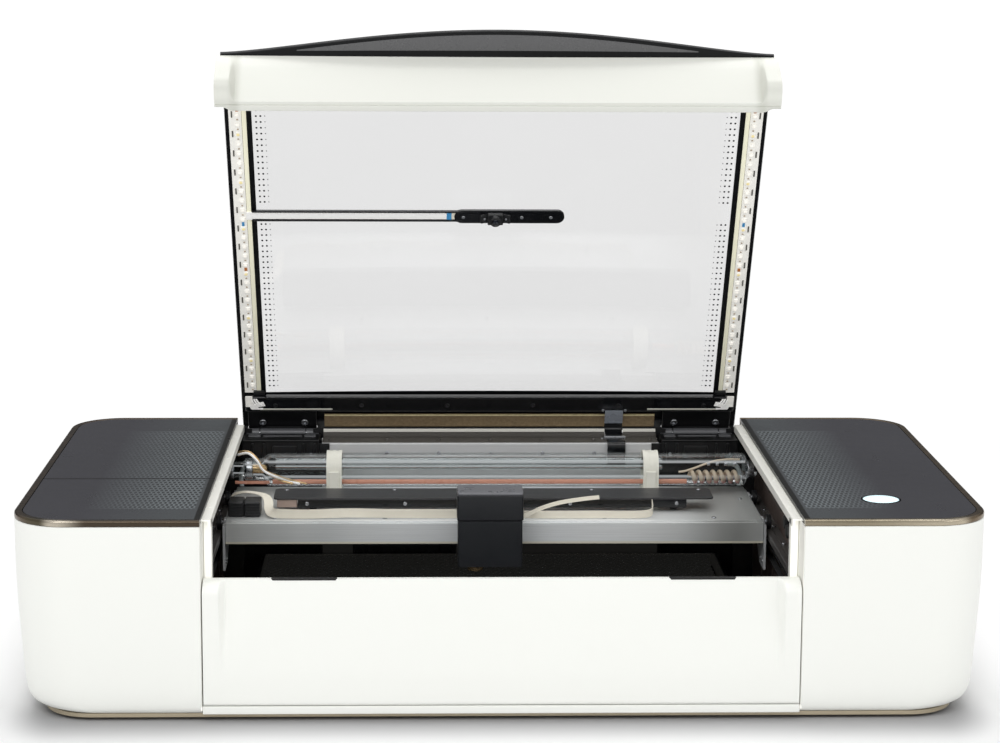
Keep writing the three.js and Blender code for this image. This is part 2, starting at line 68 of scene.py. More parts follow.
S, OY = 0.001, -5.054
HALF_W, HALF_D, H_TOP, POD_X, CORNER_R = 482.5, 263.5, 203.2, 295.5, 57.0
DOOR_HALF, JOINT_Z, SCOOP, SCOOP_Z0 = 294.0, 139.7, 20.0, 46.0
DOOR_ROUND_Z, BAR_ROUND_Z, BAR_IN_Y, BAR_GAP, DOOR_IN_Y = 128.0, 156.0, -236.0, 2.5, -226.0
DOOR_PIN, LID_PIN, LID_OPEN = (-259.5, 20.0), (256.7, 186.1), 59.25
LID_HALF, GLASS_Z, GLASS_T, CROWN, VISOR = 290.0, 198.0, 4.0, 3.0, 27.0
DECK_Z, DECK_Y1, BEAM_Y, BEAM_HALF = 136.3, 190.0, 8.0, 292.0
TUBE_Y, TUBE_Z, TUBE_R = 163.0, 162.4, 19.0
FAN_X, FAN_Z = -100.0, 98.0
BTN_X, BTN_Y, BTN_R = 386.0, -170.6, 19.5


def smooth(a, b, x):
    t = min(1.0, max(0.0, (x - a) / (b - a)))
    return t * t * (3 - 2 * t)


def lid_turn(p):
    th = math.radians(LID_OPEN)
    a, b = LID_PIN[0] - p[1], p[2] - LID_PIN[1]
    return (p[0], LID_PIN[0] - a * math.cos(th) + b * math.sin(th), LID_PIN[1] + a * math.sin(th) + b * math.cos(th))


def arc(cx, cy, r, n, a0, a1):
    return [(cx + r * math.cos(math.radians(a0 + (a1 - a0) * i / n)), cy + r * math.sin(math.radians(a0 + (a1 - a0) * i / n))) for i in range(n + 1)]


def circle(cx, cy, r, n, off=0.0):
    return [(cx + r * math.cos(2 * math.pi * i / n + off), cy + r * math.sin(2 * math.pi * i / n + off)) for i in range(n)]


def rrect(x0, x1, y0, y1, r, n=5):
    return arc(x1 - r, y0 + r, r, n, -90, 0) + arc(x1 - r, y1 - r, r, n, 0, 90) + arc(x0 + r, y1 - r, r, n, 90, 180) + arc(x0 + r, y0 + r, r, n, 180, 270)


def spline(pts, n=8):
    """Catmull-Rom through the points."""
    p = [Vector(q) for q in pts]
    p = [p[0] * 2 - p[1]] + p + [p[-1] * 2 - p[-2]]
    out = []
    for i in range(1, len(p) - 2):
        for k in range(n):
            t = k / n
            a, b, c, d = p[i - 1], p[i], p[i + 1], p[i + 2]
            out.append(0.5 * ((2 * b) + (c - a) * t + (2 * a - 5 * b + 4 * c - d) * t * t + (3 * b - a - 3 * c + d) * t ** 3))
    out.append(p[-2].copy())
    return out


def pchip(xs, ys, x):
    """Monotone cubic through (xs, ys)."""
    n = len(xs)
    h = [xs[i + 1] - xs[i] for i in range(n - 1)]
    d = [(ys[i + 1] - ys[i]) / h[i] for i in range(n - 1)]
    m = [d[0]] + [0.0] * (n - 2) + [d[-1]]
    for i in range(1, n - 1):
        if d[i - 1] * d[i] > 0:
            w1, w2 = 2 * h[i] + h[i - 1], h[i] + 2 * h[i - 1]
            m[i] = (w1 + w2) / (w1 / d[i - 1] + w2 / d[i])
    x = min(xs[-1], max(xs[0], x))
    i = max(k for k in range(n - 1) if xs[k] <= x)
    t = (x - xs[i]) / h[i]
    return ((2 * t ** 3 - 3 * t * t + 1) * ys[i] + (t ** 3 - 2 * t * t + t) * h[i] * m[i]
            + (-2 * t ** 3 + 3 * t * t) * ys[i + 1] + (t ** 3 - t * t) * h[i] * m[i + 1])


class Part:
    """Collects closed bodies in millimetres and makes one object of them."""

    def __init__(self):
        self.v, self.f, self.m = [], [], []
        self.M = None

    def raw(self, vs, fs, mat=0):
        base = len(self.v)
        for p in vs:
            p = Vector(p)
            self.v.append(self.M @ p if self.M is not None else p)
        for f in fs:
            self.f.append([base + i for i in f])
            self.m.append(mat)
        return self

    def at(self, M):
        self.M = M
        return self

    def bm(self, bm, mat=0):
        bm.verts.index_update()
        self.raw([v.co.copy() for v in bm.verts], [[v.index for v in f.verts] for f in bm.faces], mat)
        bm.free()
        return self

    def rbox(self, x0, x1, y0, y1, z0, z1, r=0.6, seg=2, mat=0):
        bm = bmesh.new()
        bmesh.ops.create_cube(bm, size=1.0)
        for v in bm.verts:
            v.co = Vector(((x0 + x1) / 2 + v.co.x * (x1 - x0), (y0 + y1) / 2 + v.co.y * (y1 - y0), (z0 + z1) / 2 + v.co.z * (z1 - z0)))
        r = min(r, 0.46 * min(x1 - x0, y1 - y0, z1 - z0))
        if r > 0:
            bmesh.ops.bevel(bm, geom=bm.edges[:], offset=r, segments=seg, profile=0.5, affect="EDGES")
        return self.bm(bm, mat)

    def grid(self, rows, mat=0, close_u=False, close_v=False):
        """Quads between rows of equal length; rows are lists of points."""
        n = len(rows[0])
        vs = [p for r in rows for p in r]
        fs = []
        R = len(rows)
        for i in range(R if close_v else R - 1):
            for j in range(n if close_u else n - 1):
                a, b = i * n + j, i * n + (j + 1) % n
                c, d = ((i + 1) % R) * n + j, ((i + 1) % R) * n + (j + 1) % n
                fs.append([a, b, d, c])
        return self.raw(vs, fs, mat)

    def loft(self, rings, mat=0, caps=True):
        """Closed body through rings of points, with flat ends."""
        n, R = len(rings[0]), len(rings)
        vs = [p for r in rings for p in r]
        fs = []
        for i in range(R - 1):
            for j in range(n):
                a, b = i * n + j, i * n + (j + 1) % n
                fs.append([a, b, b + n, a + n])
        if caps:
            fs.append(list(range(n))[::-1])
            fs.append([(R - 1) * n + j for j in range(n)])
        return self.raw(vs, fs, mat)

    def prism(self, pts, axis, a, b, mat=0, holes=()):
        def lift(p, h):
            return {"z": (p[0], p[1], h), "x": (h, p[0], p[1]), "y": (p[0], h, p[1])}[axis]
        loops = [list(pts)] + [list(h) for h in holes]
        vs, fs = [], []
        for h in (a, b):
            for lp in loops:
                vs += [lift(p, h) for p in lp]
        tot = sum(len(lp) for lp in loops)
        o = 0
        for lp in loops:
            n = len(lp)
            for j in range(n):
                p, q = o + j, o + (j + 1) % n
                fs.append([p, q, q + tot, p + tot])
            o += n
        if holes:
            flat = [[Vector((p[0], p[1], 0)) for p in lp] for lp in loops]
            tris = tessellate_polygon(flat)
            for t in tris:
                fs.append([t[0], t[1], t[2]])
                fs.append([t[2] + tot, t[1] + tot, t[0] + tot])
        else:
            fs.append(list(range(tot))[::-1])
            fs.append([tot + j for j in range(tot)])
        return self.raw(vs, fs, mat)

    def lathe(self, profile, axis, c, n=32, mat=0, closed=False):
        def place(r, a, t):
            u, w = r * math.cos(t), r * math.sin(t)
            return {"x": (a, c[0] + u, c[1] + w), "y": (c[0] + u, a, c[1] + w), "z": (c[0] + u, c[1] + w, a)}[axis]
        vs, idx = [], []
        for r, a in profile:
            if r < 1e-6:
                idx.append([len(vs)] * n)
                vs.append(place(0, a, 0))
            else:
                idx.append([len(vs) + j for j in range(n)])
                vs += [place(r, a, 2 * math.pi * j / n) for j in range(n)]
        fs = []
        k = len(profile)
        for i in range(k if closed else k - 1):
            A, B = idx[i], idx[(i + 1) % k]
            for j in range(n):
                q = [A[j], A[(j + 1) % n], B[(j + 1) % n], B[j]]
                q = [x for m, x in enumerate(q) if x not in q[:m]]
                if len(q) > 2:
                    fs.append(q)
        if not closed:
            for e in (0, -1):
                if profile[e][0] > 1e-6:
                    fs.append(list(idx[e]))
        return self.raw(vs, fs, mat)

    def tube(self, path, r, n=8, mat=0):
        p = [Vector(q) for q in path]
        t0 = (p[1] - p[0]).normalized()
        up = Vector((0, 0, 1)) if abs(t0.z) < 0.9 else Vector((1, 0, 0))
        u = (up - t0 * up.dot(t0)).normalized()
        rings = []
        for i, q in enumerate(p):
            t = (p[min(i + 1, len(p) - 1)] - p[max(i - 1, 0)]).normalized()
            u = (u - t * u.dot(t)).normalized()
            w = t.cross(u)
            rr = r[i] if isinstance(r, (list, tuple)) else r
            rings.append([q + (u * math.cos(2 * math.pi * j / n) + w * math.sin(2 * math.pi * j / n)) * rr for j in range(n)])
        return self.loft(rings, mat)

    def ribbon(self, path, width, w, t, mat=0, lanes=1):
        """A flat strip: width is the direction across it; lanes splits it into ridged conductors."""
        p = [Vector(q) for q in path]
        rings = []
        for i, q in enumerate(p):
            tan = (p[min(i + 1, len(p) - 1)] - p[max(i - 1, 0)]).normalized()
            W = Vector(width[i] if isinstance(width[0], (list, tuple, Vector)) else width)
            W = (W - tan * W.dot(tan)).normalized()
            N = tan.cross(W)
            top, bot = [], []
            for k in range(lanes):
                for s in ((0.06, 0.6), (0.25, 1.0), (0.75, 1.0), (0.94, 0.6)) if lanes > 1 else ((0.0, 1.0), (1.0, 1.0)):
                    x = ((k + s[0]) / lanes - 0.5) * w
                    top.append(q + W * x + N * (t / 2 * s[1]))
                    bot.append(q + W * x - N * (t / 2 * s[1]))
            rings.append(top + bot[::-1])
        return self.loft(rings, mat)

    def screw(self, p, d, r=2.8, h=1.7, mat=0, washer=0.0):
        """A pan-head screw with a hex socket, its seat at p and its head towards d."""
        d = Vector(d).normalized()
        q = Vector((0, 0, 1)).rotation_difference(d).to_matrix().to_4x4()
        M = Matrix.Translation(Vector(p)) @ q
        old, self.M = self.M, M if self.M is None else self.M @ M
        n = 24
        hexr = [0.42 * r / math.cos(math.radians(((360 * j / n + 30) % 60) - 30)) for j in range(n)]
        rings = [[(r * math.cos(2 * math.pi * j / n), r * math.sin(2 * math.pi * j / n), -0.2) for j in range(n)]]
        for rr, z in ((r, h * 0.55), (r * 0.93, h * 0.82), (r * 0.76, h)):
            rings.append([(rr * math.cos(2 * math.pi * j / n), rr * math.sin(2 * math.pi * j / n), z) for j in range(n)])
        for z in (h, h * 0.3):
            rings.append([(hexr[j] * math.cos(2 * math.pi * j / n), hexr[j] * math.sin(2 * math.pi * j / n), z) for j in range(n)])
        self.loft(rings, mat)
        if washer:
            self.lathe([(r * 0.5, -0.2), (washer, -0.2), (washer, 0.35), (r * 0.5, 0.35)], "z", (0, 0), 24, mat, closed=True)
        self.M = old
        return self

    def make(self, name, body, mats, slot=None, lid=False, sharp=38, bevel=0.0, seg=2, weighted=True, replaces=(), mirror=False, subsurf=0):
        pts = []
        for p in self.v:
            q = (-p[0], p[1], p[2]) if mirror else p
            q = lid_turn(q) if lid else q
            pts.append((q[0] * S, (q[1] + OY) * S, q[2] * S))
        me = bpy.data.meshes.new(name)
        me.from_pydata(pts, [], self.f)
        for m in mats if isinstance(mats, (list, tuple)) else [mats]:
            me.materials.append(m)
        me.polygons.foreach_set("material_index", self.m)
        me.update()
        bm = bmesh.new()
        bm.from_mesh(me)
        bmesh.ops.recalc_face_normals(bm, faces=bm.faces[:])
        for f in bm.faces:
            f.smooth = True
        bm.to_mesh(me)
        bm.free()
        if not bevel:
            me.set_sharp_from_angle(angle=math.radians(sharp))
        o = bpy.data.objects.new(name, me)
        bpy.context.scene.collection.objects.link(o)
        if bevel:
            b = o.modifiers.new("edge_round", "BEVEL")
            b.width, b.segments, b.limit_method, b.angle_limit = bevel * S, seg, "ANGLE", math.radians(sharp)
            b.use_clamp_overlap = True
            b.miter_outer = "MITER_ARC"
        if subsurf:
            s = o.modifiers.new("smooth", "SUBSURF")
            s.levels = s.render_levels = subsurf
        if weighted:
            w = o.modifiers.new("normals", "WEIGHTED_NORMAL")
            w.keep_sharp = True
            w.weight = 60
        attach(o, body)
        if replaces:
            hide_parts(*replaces)
        return o


# ---------------------------------------------------------------- materials
def lin(r, g, b, a=1.0):
    c = [x / 255 for x in (r, g, b)]
    return tuple(x / 12.92 if x <= 0.04045 else ((x + 0.055) / 1.055) ** 2.4 for x in c) + (a,)


class Mat:
    def __init__(self, name):
        self.m = bpy.data.materials.new(name)
        self.m.use_nodes = True
        self.t = self.m.node_tree
        self.t.nodes.clear()
        self.out = self.n("ShaderNodeOutputMaterial")
        self.b = self.n("ShaderNodeBsdfPrincipled")
        self.l(self.b.outputs[0], self.out.inputs[0])
        self.co = self.n("ShaderNodeTexCoord").outputs["Object"]

    def n(self, kind, **kw):
        node = self.t.nodes.new(kind)
        for k, v in kw.items():
            setattr(node, k, v)
        return node

    def l(self, a, b):
        self.t.links.new(a, b)

    def put(self, sock, val):
        if hasattr(val, "is_output"):
            self.l(val, sock)
        else:
            sock.default_value = val

    def math(self, op, a, b=0.0, c=None, clamp=False):
        m = self.n("ShaderNodeMath", operation=op, use_clamp=clamp)
        self.put(m.inputs[0], a)
        self.put(m.inputs[1], b)
        if c is not None:
            self.put(m.inputs[2], c)
        return m.outputs[0]

    def scaled(self, s):
        m = self.n("ShaderNodeMapping")
        self.l(self.co, m.inputs["Vector"])
        m.inputs["Scale"].default_value = s
        return m.outputs[0]

    def noise(self, scale, detail=2.0, rough=0.5, vec=None):
        t = self.n("ShaderNodeTexNoise")
        self.l(vec if vec is not None else self.co, t.inputs["Vector"])
        t.inputs["Scale"].default_value = scale
        t.inputs["Detail"].default_value = detail
        t.inputs["Roughness"].default_value = rough
        return t.outputs[0]

    def xyz(self):
        s = self.n("ShaderNodeSeparateXYZ")
        self.l(self.co, s.inputs[0])
        return s.outputs

    def step(self, x, lo, hi):
        r = self.n("ShaderNodeMapRange", interpolation_type="SMOOTHSTEP")
        self.put(r.inputs["Value"], x)
        r.inputs["From Min"].default_value = lo
        r.inputs["From Max"].default_value = hi
        return r.outputs[0]

    def lerp(self, x, lo, hi, a, b):
        r = self.n("ShaderNodeMapRange")
        self.put(r.inputs["Value"], x)
        for k, v in zip(("From Min", "From Max", "To Min", "To Max"), (lo, hi, a, b)):
            r.inputs[k].default_value = v
        return r.outputs[0]

    def mix(self, fac, a, b):
        m = self.n("ShaderNodeMix", data_type="RGBA")
        self.put(m.inputs[0], fac)
        self.put(m.inputs[6], a)
        self.put(m.inputs[7], b)
        return m.outputs[2]

    def bump(self, height, strength, dist, normal=None):
        b = self.n("ShaderNodeBump")
        self.put(b.inputs["Height"], height)
        b.inputs["Strength"].default_value = strength
        b.inputs["Distance"].default_value = dist
        if normal is not None:
            self.l(normal, b.inputs["Normal"])
        return b.outputs[0]

    def set(self, **kw):
        for k, v in kw.items():
            self.put(self.b.inputs[k.replace("_", " ")], v)
        return self


def scale_rgb(c, k):
    return tuple(min(1.0, x * k) for x in c[:3]) + (1.0,)


def surface(name, rgb, rough, metal=0.0, vary=0.04, vscale=9.0, rvary=0.06, rscale=60.0, grain=900.0, gstr=0.06, gdist=0.0004,
            stretch=None, spec=0.5, coat=0.0, wear=0.0, hollow_shade=0.0):
    """A finish with colour drift, uneven gloss, fine grain, worn edges and hollows darkened as painted shade."""
    k = Mat(name)
    c = lin(*rgb)
    big = k.noise(vscale, 3.0, 0.6)
    col = k.mix(big, scale_rgb(c, 1 - vary), scale_rgb(c, 1 + vary))
    if stretch:
        lines = k.noise(1.0, 2.0, 0.7, k.scaled(stretch))
        col = k.mix(k.lerp(lines, 0.35, 0.65, 0.0, 0.5), col, scale_rgb(c, 0.72 if metal else 0.9))
        height = lines
        rr = k.math("ADD", k.lerp(lines, 0.3, 0.7, -rvary, rvary), rough, clamp=True)
    else:
        height = k.noise(grain, 2.0, 0.55)
        rr = k.math("ADD", k.lerp(k.noise(rscale, 3.0, 0.6), 0.3, 0.7, -rvary, rvary), rough, clamp=True)
    if wear or hollow_shade:
        g = k.n("ShaderNodeNewGeometry")
        if wear:
            edge = k.math("MULTIPLY", k.step(g.outputs["Pointiness"], 0.52, 0.60), k.step(k.noise(140.0, 3.0, 0.7), 0.35, 0.65))
            col = k.mix(k.math("MULTIPLY", edge, wear), col, scale_rgb(c, 2.2 if max(c[:3]) < 0.3 else 1.12))
        # painted shade: darken the hollows, where pointiness is low
        if hollow_shade:
            low = k.math("MULTIPLY", k.step(g.outputs["Pointiness"], 0.49, 0.40), hollow_shade)
            col = k.mix(low, col, scale_rgb(c, 0.7))
    k.set(Base_Color=col, Roughness=rr, Metallic=metal, Normal=k.bump(height, gstr, gdist))
    k.b.inputs["Specular IOR Level"].default_value = spec
    if coat:
        k.b.inputs["Coat Weight"].default_value = coat
        k.b.inputs["Coat Roughness"].default_value = 0.06
    return k.m


def brushed(name, rgb, rough, along="x", metal=1.0, dark=0.0, **kw):
    fine, long = 2600.0, 14.0
    st = {"x": (long, fine, fine), "y": (fine, long, fine), "z": (fine, fine, long)}[along]
    return surface(name, rgb, rough, metal, vary=0.05, rvary=0.07, stretch=st, gstr=0.10, gdist=0.00015, **kw)


def make_panel():
    """Dark glossy panel: a printed field of small staggered marks that fades away from the chamber, a black border by it."""
    k = Mat("panel_dark")
    x, y, z = k.xyz()
    ax = k.math("MULTIPLY", k.math("ABSOLUTE", x), 1000.0)
    ym = k.math("ADD", k.math("MULTIPLY", y, 1000.0), -OY)
    PX, PY = 4.7, 9.4
    row = k.math("DIVIDE", ym, PY)
    ri = k.math("FLOOR", row)
    odd = k.math("MODULO", k.math("ABSOLUTE", ri), 2.0)
    u = k.math("SUBTRACT", k.math("FRACT", k.math("ADD", k.math("DIVIDE", ax, PX), k.math("MULTIPLY", odd, 0.5))), 0.5)
    w = k.math("SUBTRACT", k.math("FRACT", row), 0.5)
    du = k.math("MULTIPLY", u, PX)
    dw = k.math("MAXIMUM", k.math("SUBTRACT", k.math("ABSOLUTE", k.math("MULTIPLY", w, PY)), 2.3), 0.0)
    r = k.math("SQRT", k.math("ADD", k.math("MULTIPLY", du, du), k.math("MULTIPLY", dw, dw)))
    spot = k.step(r, 1.75, 1.05)
    left = k.step(x, 0.05, -0.05)
    far = k.math("ADD", 395.0, k.math("MULTIPLY", left, 20.0))
    fade = k.math("SUBTRACT", 1.0, k.math("DIVIDE", k.math("SUBTRACT", ax, 322.0), k.math("SUBTRACT", far, 322.0)), clamp=True)
    band = k.math("MULTIPLY", k.step(ym, -214.0, -206.0), k.step(ym, 186.0, 178.0))
    amp = k.math("MULTIPLY", k.math("MULTIPLY", fade, band), k.step(ax, 303.5, 305.5))
    base = k.mix(k.noise(5.0, 2.0, 0.5), lin(56, 56, 61), lin(61, 61, 66))
    warm = k.mix(k.math("MULTIPLY", fade, 0.8), base, lin(73, 77, 79))
    light = k.mix(k.math("MULTIPLY", amp, 0.85), warm, lin(112, 118, 121))
    dark = k.mix(k.math("MULTIPLY", amp, 0.8), warm, lin(44, 47, 49))
    col = k.mix(spot, light, dark)
    # a dark band along the left panels' seam: the joint, widened as painted shade of its groove
    seam_shade = k.math("MULTIPLY", k.math("MULTIPLY", k.step(k.math("ABSOLUTE", k.math("ADD", ym, 70.0)), 4.2, 2.6), left), 0.75)
    col = k.mix(seam_shade, col, lin(30, 30, 33))
    edge = k.step(ax, 302.0, 301.0)
    col = k.mix(edge, col, lin(22, 23, 22))
    k.set(Base_Color=col, Roughness=k.math("ADD", k.lerp(k.noise(35.0, 3.0, 0.6), 0.3, 0.7, -0.03, 0.03), 0.30),
          Normal=k.bump(k.math("MULTIPLY", spot, amp), 0.12, 0.0002))
    k.b.inputs["Specular IOR Level"].default_value = 0.16
    return k.m


def make_clear(name, tint, gloss=0.7, rough=0.02, painted_streaks=False):
    """Clear sheet: lets light straight through and mirrors a little, more at a glancing angle."""
    k = Mat(name)
    k.t.nodes.remove(k.b)
    tr = k.n("ShaderNodeBsdfTransparent")
    smudge = k.noise(7.0, 4.0, 0.6)
    c = lin(*tint)
    k.put(tr.inputs[0], k.mix(smudge, scale_rgb(c, 0.99), scale_rgb(c, 1.008)))
    gl = k.n("ShaderNodeBsdfGlossy")
    gl.inputs["Color"].default_value = (1, 1, 1, 1)
    k.put(gl.inputs["Roughness"], k.lerp(smudge, 0.3, 0.7, rough, rough + 0.05))
    fr = k.n("ShaderNodeFresnel")
    fr.inputs[0].default_value = 1.45
    mx = k.n("ShaderNodeMixShader")
    k.put(mx.inputs[0], k.math("MULTIPLY", fr.outputs[0], gloss))
    k.l(tr.outputs[0], mx.inputs[1])
    k.l(gl.outputs[0], mx.inputs[2])
    last = mx
    if painted_streaks:
        # painted highlights: long soft highlights of the room along the tube, made to glow by the normal's direction
        g = k.n("ShaderNodeNewGeometry")
        sp = k.n("ShaderNodeSeparateXYZ")
        k.l(g.outputs["Normal"], sp.inputs[0])
        ny, nz = sp.outputs[1], sp.outputs[2]
        front = k.step(ny, 0.05, -0.15)
        up = k.math("MULTIPLY", k.math("MULTIPLY", k.step(nz, 0.52, 0.58), k.step(nz, 0.71, 0.65)), front)
        dn = k.math("MULTIPLY", k.math("MULTIPLY", k.step(nz, -0.46, -0.36), k.step(nz, -0.12, -0.2)), front)
        em = k.n("ShaderNodeEmission")
        em.inputs[0].default_value = lin(222, 226, 228)
        em.inputs[1].default_value = 0.9
        m2 = k.n("ShaderNodeMixShader")
        k.put(m2.inputs[0], k.math("ADD", k.math("MULTIPLY", up, 0.42), k.math("MULTIPLY", dn, 0.10)))
        k.l(mx.outputs[0], m2.inputs[1])
        k.l(em.outputs[0], m2.inputs[2])
        last = m2
    k.l(last.outputs[0], k.out.inputs[0])
    return k.m


def make_bezel():
    """Polished bronze-champagne trim, finely brushed along its run, with painted reflections: darker and more brown on
    the left pod, paler on the right, a bright band near the left front corner and a darker right front corner.
    """
    k = Mat("bezel_bronze")
    x, y, z = k.xyz()
    front = k.step(y, -0.235, -0.262)
    right = k.step(x, -0.2, 0.2)
    # painted reflections of the room: the left side darker, the right side lighter
    left_side_reflection = lin(116, 100, 84)
    # painted highlight: a pale bright stretch on the right front
    pale = k.mix(k.step(x, 0.34, 0.44), lin(176, 165, 142), lin(226, 214, 190))
    # painted shade: the right front corner darker
    champagne = k.mix(k.step(x, 0.452, 0.464), pale, lin(128, 112, 92))
    # painted reflections on the front: the left front dark, with a bright band near its outer corner
    front_painted_reflection = k.mix(right, k.mix(k.step(x, -0.452, -0.440), lin(96, 92, 74), k.mix(k.step(x, -0.436, -0.405), lin(232, 222, 204), lin(80, 71, 60))), champagne)
    side = k.mix(right, left_side_reflection, lin(142, 123, 96))
    col = k.mix(front, side, front_painted_reflection)
    col = k.mix(0.30, col, lin(60, 52, 44))
    hair = k.noise(1.0, 2.0, 0.7, k.scaled((60.0, 60.0, 5200.0)))
    col = k.mix(k.lerp(hair, 0.3, 0.7, 0.0, 0.35), col, lin(74, 64, 54))
    k.set(Base_Color=col, Metallic=1.0, Roughness=k.lerp(hair, 0.3, 0.7, 0.20, 0.34), Normal=k.bump(hair, 0.06, 0.0001))
    return k.m


def make_bar_white():
    """The lid bar's white, a shade darker than the pods as painted shade and darker still on the curved end walls as
    painted shade; its downward faces and top edge glow as painted light.
    """
    k = Mat("bar_white")
    x, y, z = k.xyz()
    ax = k.math("ABSOLUTE", x)
    c = lin(226, 227, 220)
    big = k.noise(3.0, 3.0, 0.6)
    col = k.mix(big, scale_rgb(c, 0.99), c)
    # painted shade: the curved end walls darker, most in a crescent
    end_wall_shade = k.math("MULTIPLY", k.step(ax, 0.264, 0.274), 0.55)
    end_crescent_shade = k.math("MULTIPLY", k.math("MULTIPLY", k.step(ax, 0.266, 0.273), k.step(ax, 0.282, 0.276)), 0.45)
    col = k.mix(k.math("ADD", end_wall_shade, end_crescent_shade, clamp=True), col, lin(206, 207, 198))
    fine = k.noise(1500.0, 2.0, 0.55)
    k.set(Base_Color=col, Roughness=k.lerp(k.noise(60.0, 3.0, 0.6), 0.3, 0.7, 0.34, 0.42), Normal=k.bump(fine, 0.04, 0.00025))
    k.b.inputs["Specular IOR Level"].default_value = 0.42
    g = k.n("ShaderNodeNewGeometry")
    sp = k.n("ShaderNodeSeparateXYZ")
    k.l(g.outputs["Normal"], sp.inputs[0])
    k.b.inputs["Emission Color"].default_value = c
    # painted light: downward faces glow, and the top edge glows as a painted highlight
    lift = k.math("MULTIPLY", k.step(sp.outputs[2], 0.15, -0.35), 0.13)
    top = k.math("MULTIPLY", k.step(z, 0.626, 0.639), 0.12)
    k.put(k.b.inputs["Emission Strength"], k.math("MAXIMUM", lift, top))
    return k.m


def make_trim():
    """Inner trim in white paint; its front-facing ends glow as painted light, for the room's light they catch."""
    k = Mat("trim_white")
    c = lin(244, 243, 236)
    k.set(Base_Color=k.mix(k.noise(12.0, 3.0, 0.6), scale_rgb(c, 0.97), c), Roughness=k.lerp(k.noise(60.0, 3.0, 0.6), 0.3, 0.7, 0.4, 0.5), Normal=k.bump(k.noise(1400.0, 2.0, 0.55), 0.05, 0.0003))
    g = k.n("ShaderNodeNewGeometry")
    sp = k.n("ShaderNodeSeparateXYZ")
    k.l(g.outputs["Normal"], sp.inputs[0])
    k.b.inputs["Emission Color"].default_value = c
    # painted light: front-facing ends glow
    k.put(k.b.inputs["Emission Strength"], k.math("MULTIPLY", k.step(sp.outputs[1], -0.5, -0.85), 0.40))
    return k.m


def make_deck():
    """Brushed deck sheet with painted reflections: brightest right of the middle, duller towards its ends with a dark
    patch near the right end, lighter streaks of painted sheen, and a cream painted highlight along the bottom flange.
    """
    k = Mat("deck_sheet")
    x, y, z = k.xyz()
    # painted reflections: brighter right of the middle, a dark patch near the right end, lighter streaks of sheen
    a = k.math("MULTIPLY", k.step(x, -0.30, -0.06), k.step(x, 0.27, 0.12))
    dark_reflection_patch = k.math("MULTIPLY", k.math("MULTIPLY", k.step(x, 0.205, 0.252), k.step(x, 0.300, 0.262)), 0.55)
    band = k.step(k.noise(1.0, 2.0, 0.5, k.scaled((9.0, 2.0, 2.0))), 0.35, 0.7)
    lines = k.noise(1.0, 2.0, 0.7, k.scaled((14.0, 2600.0, 2600.0)))
    col = k.mix(a, lin(180, 184, 182), lin(240, 243, 244))
    col = k.mix(dark_reflection_patch, col, lin(96, 94, 89))
    col = k.mix(k.math("MULTIPLY", band, 0.35), col, lin(250, 250, 248))
    # painted highlight: a cream edge where the bottom flange catches light
    col = k.mix(k.math("MULTIPLY", k.step(z, 0.1162, 0.1150), 0.8), col, lin(240, 234, 208))
    col = k.mix(k.lerp(lines, 0.35, 0.65, 0.0, 0.25), col, lin(170, 173, 173))
    k.set(Base_Color=col, Metallic=0.18, Roughness=k.lerp(lines, 0.3, 0.7, 0.34, 0.46), Normal=k.bump(lines, 0.10, 0.00015))
    return k.m


def make_duct():
    """Duct sheet: pale brushed metal, falling into shade below the gantry."""
    k = Mat("duct_sheet")
    x, y, z = k.xyz()
    lines = k.noise(1.0, 2.0, 0.7, k.scaled((14.0, 2600.0, 2600.0)))
    c = lin(202, 203, 204)
    col = k.mix(k.noise(9.0, 3.0, 0.6), scale_rgb(c, 0.95), scale_rgb(c, 1.04))
    col = k.mix(k.lerp(lines, 0.35, 0.65, 0.0, 0.4), col, scale_rgb(c, 0.75))
    col = k.mix(k.step(z, 0.122, 0.108), col, lin(40, 39, 36))
    k.set(Base_Color=col, Metallic=0.2, Roughness=k.lerp(lines, 0.3, 0.7, 0.34, 0.46), Normal=k.bump(lines, 0.10, 0.00015))
    return k.m


def make_coil():
    """Spiral return pipe: cream glass, rosy along its underside."""
    k = Mat("coil_pipe")
    x, y, z = k.xyz()
    n = k.noise(160.0, 3.0, 0.6)
    col = k.mix(n, lin(226, 208, 186), lin(206, 186, 160))
    col = k.mix(k.step(z, 0.1520, 0.1490), col, lin(236, 176, 170))
    k.set(Base_Color=col, Roughness=k.lerp(n, 0.3, 0.7, 0.14, 0.24))
    k.b.inputs["Specular IOR Level"].default_value = 0.6
    return k.m


# A glowing finish: real light for the LED lenses, their phosphor and the power button; painted light on the strip
# board, its cream edge, the white ribbons, the duct lip and the rail strips.
def make_glow_finish(name, rgb, strength, rough=0.4):
    k = Mat(name)
    c = lin(*rgb)
    n = k.noise(900.0, 2.0, 0.5)
    k.set(Base_Color=k.mix(n, scale_rgb(c, 0.94), c), Roughness=k.lerp(n, 0.3, 0.7, rough - 0.05, rough + 0.05))
    k.b.inputs["Emission Color"].default_value = c
    k.b.inputs["Emission Strength"].default_value = strength
    return k.m


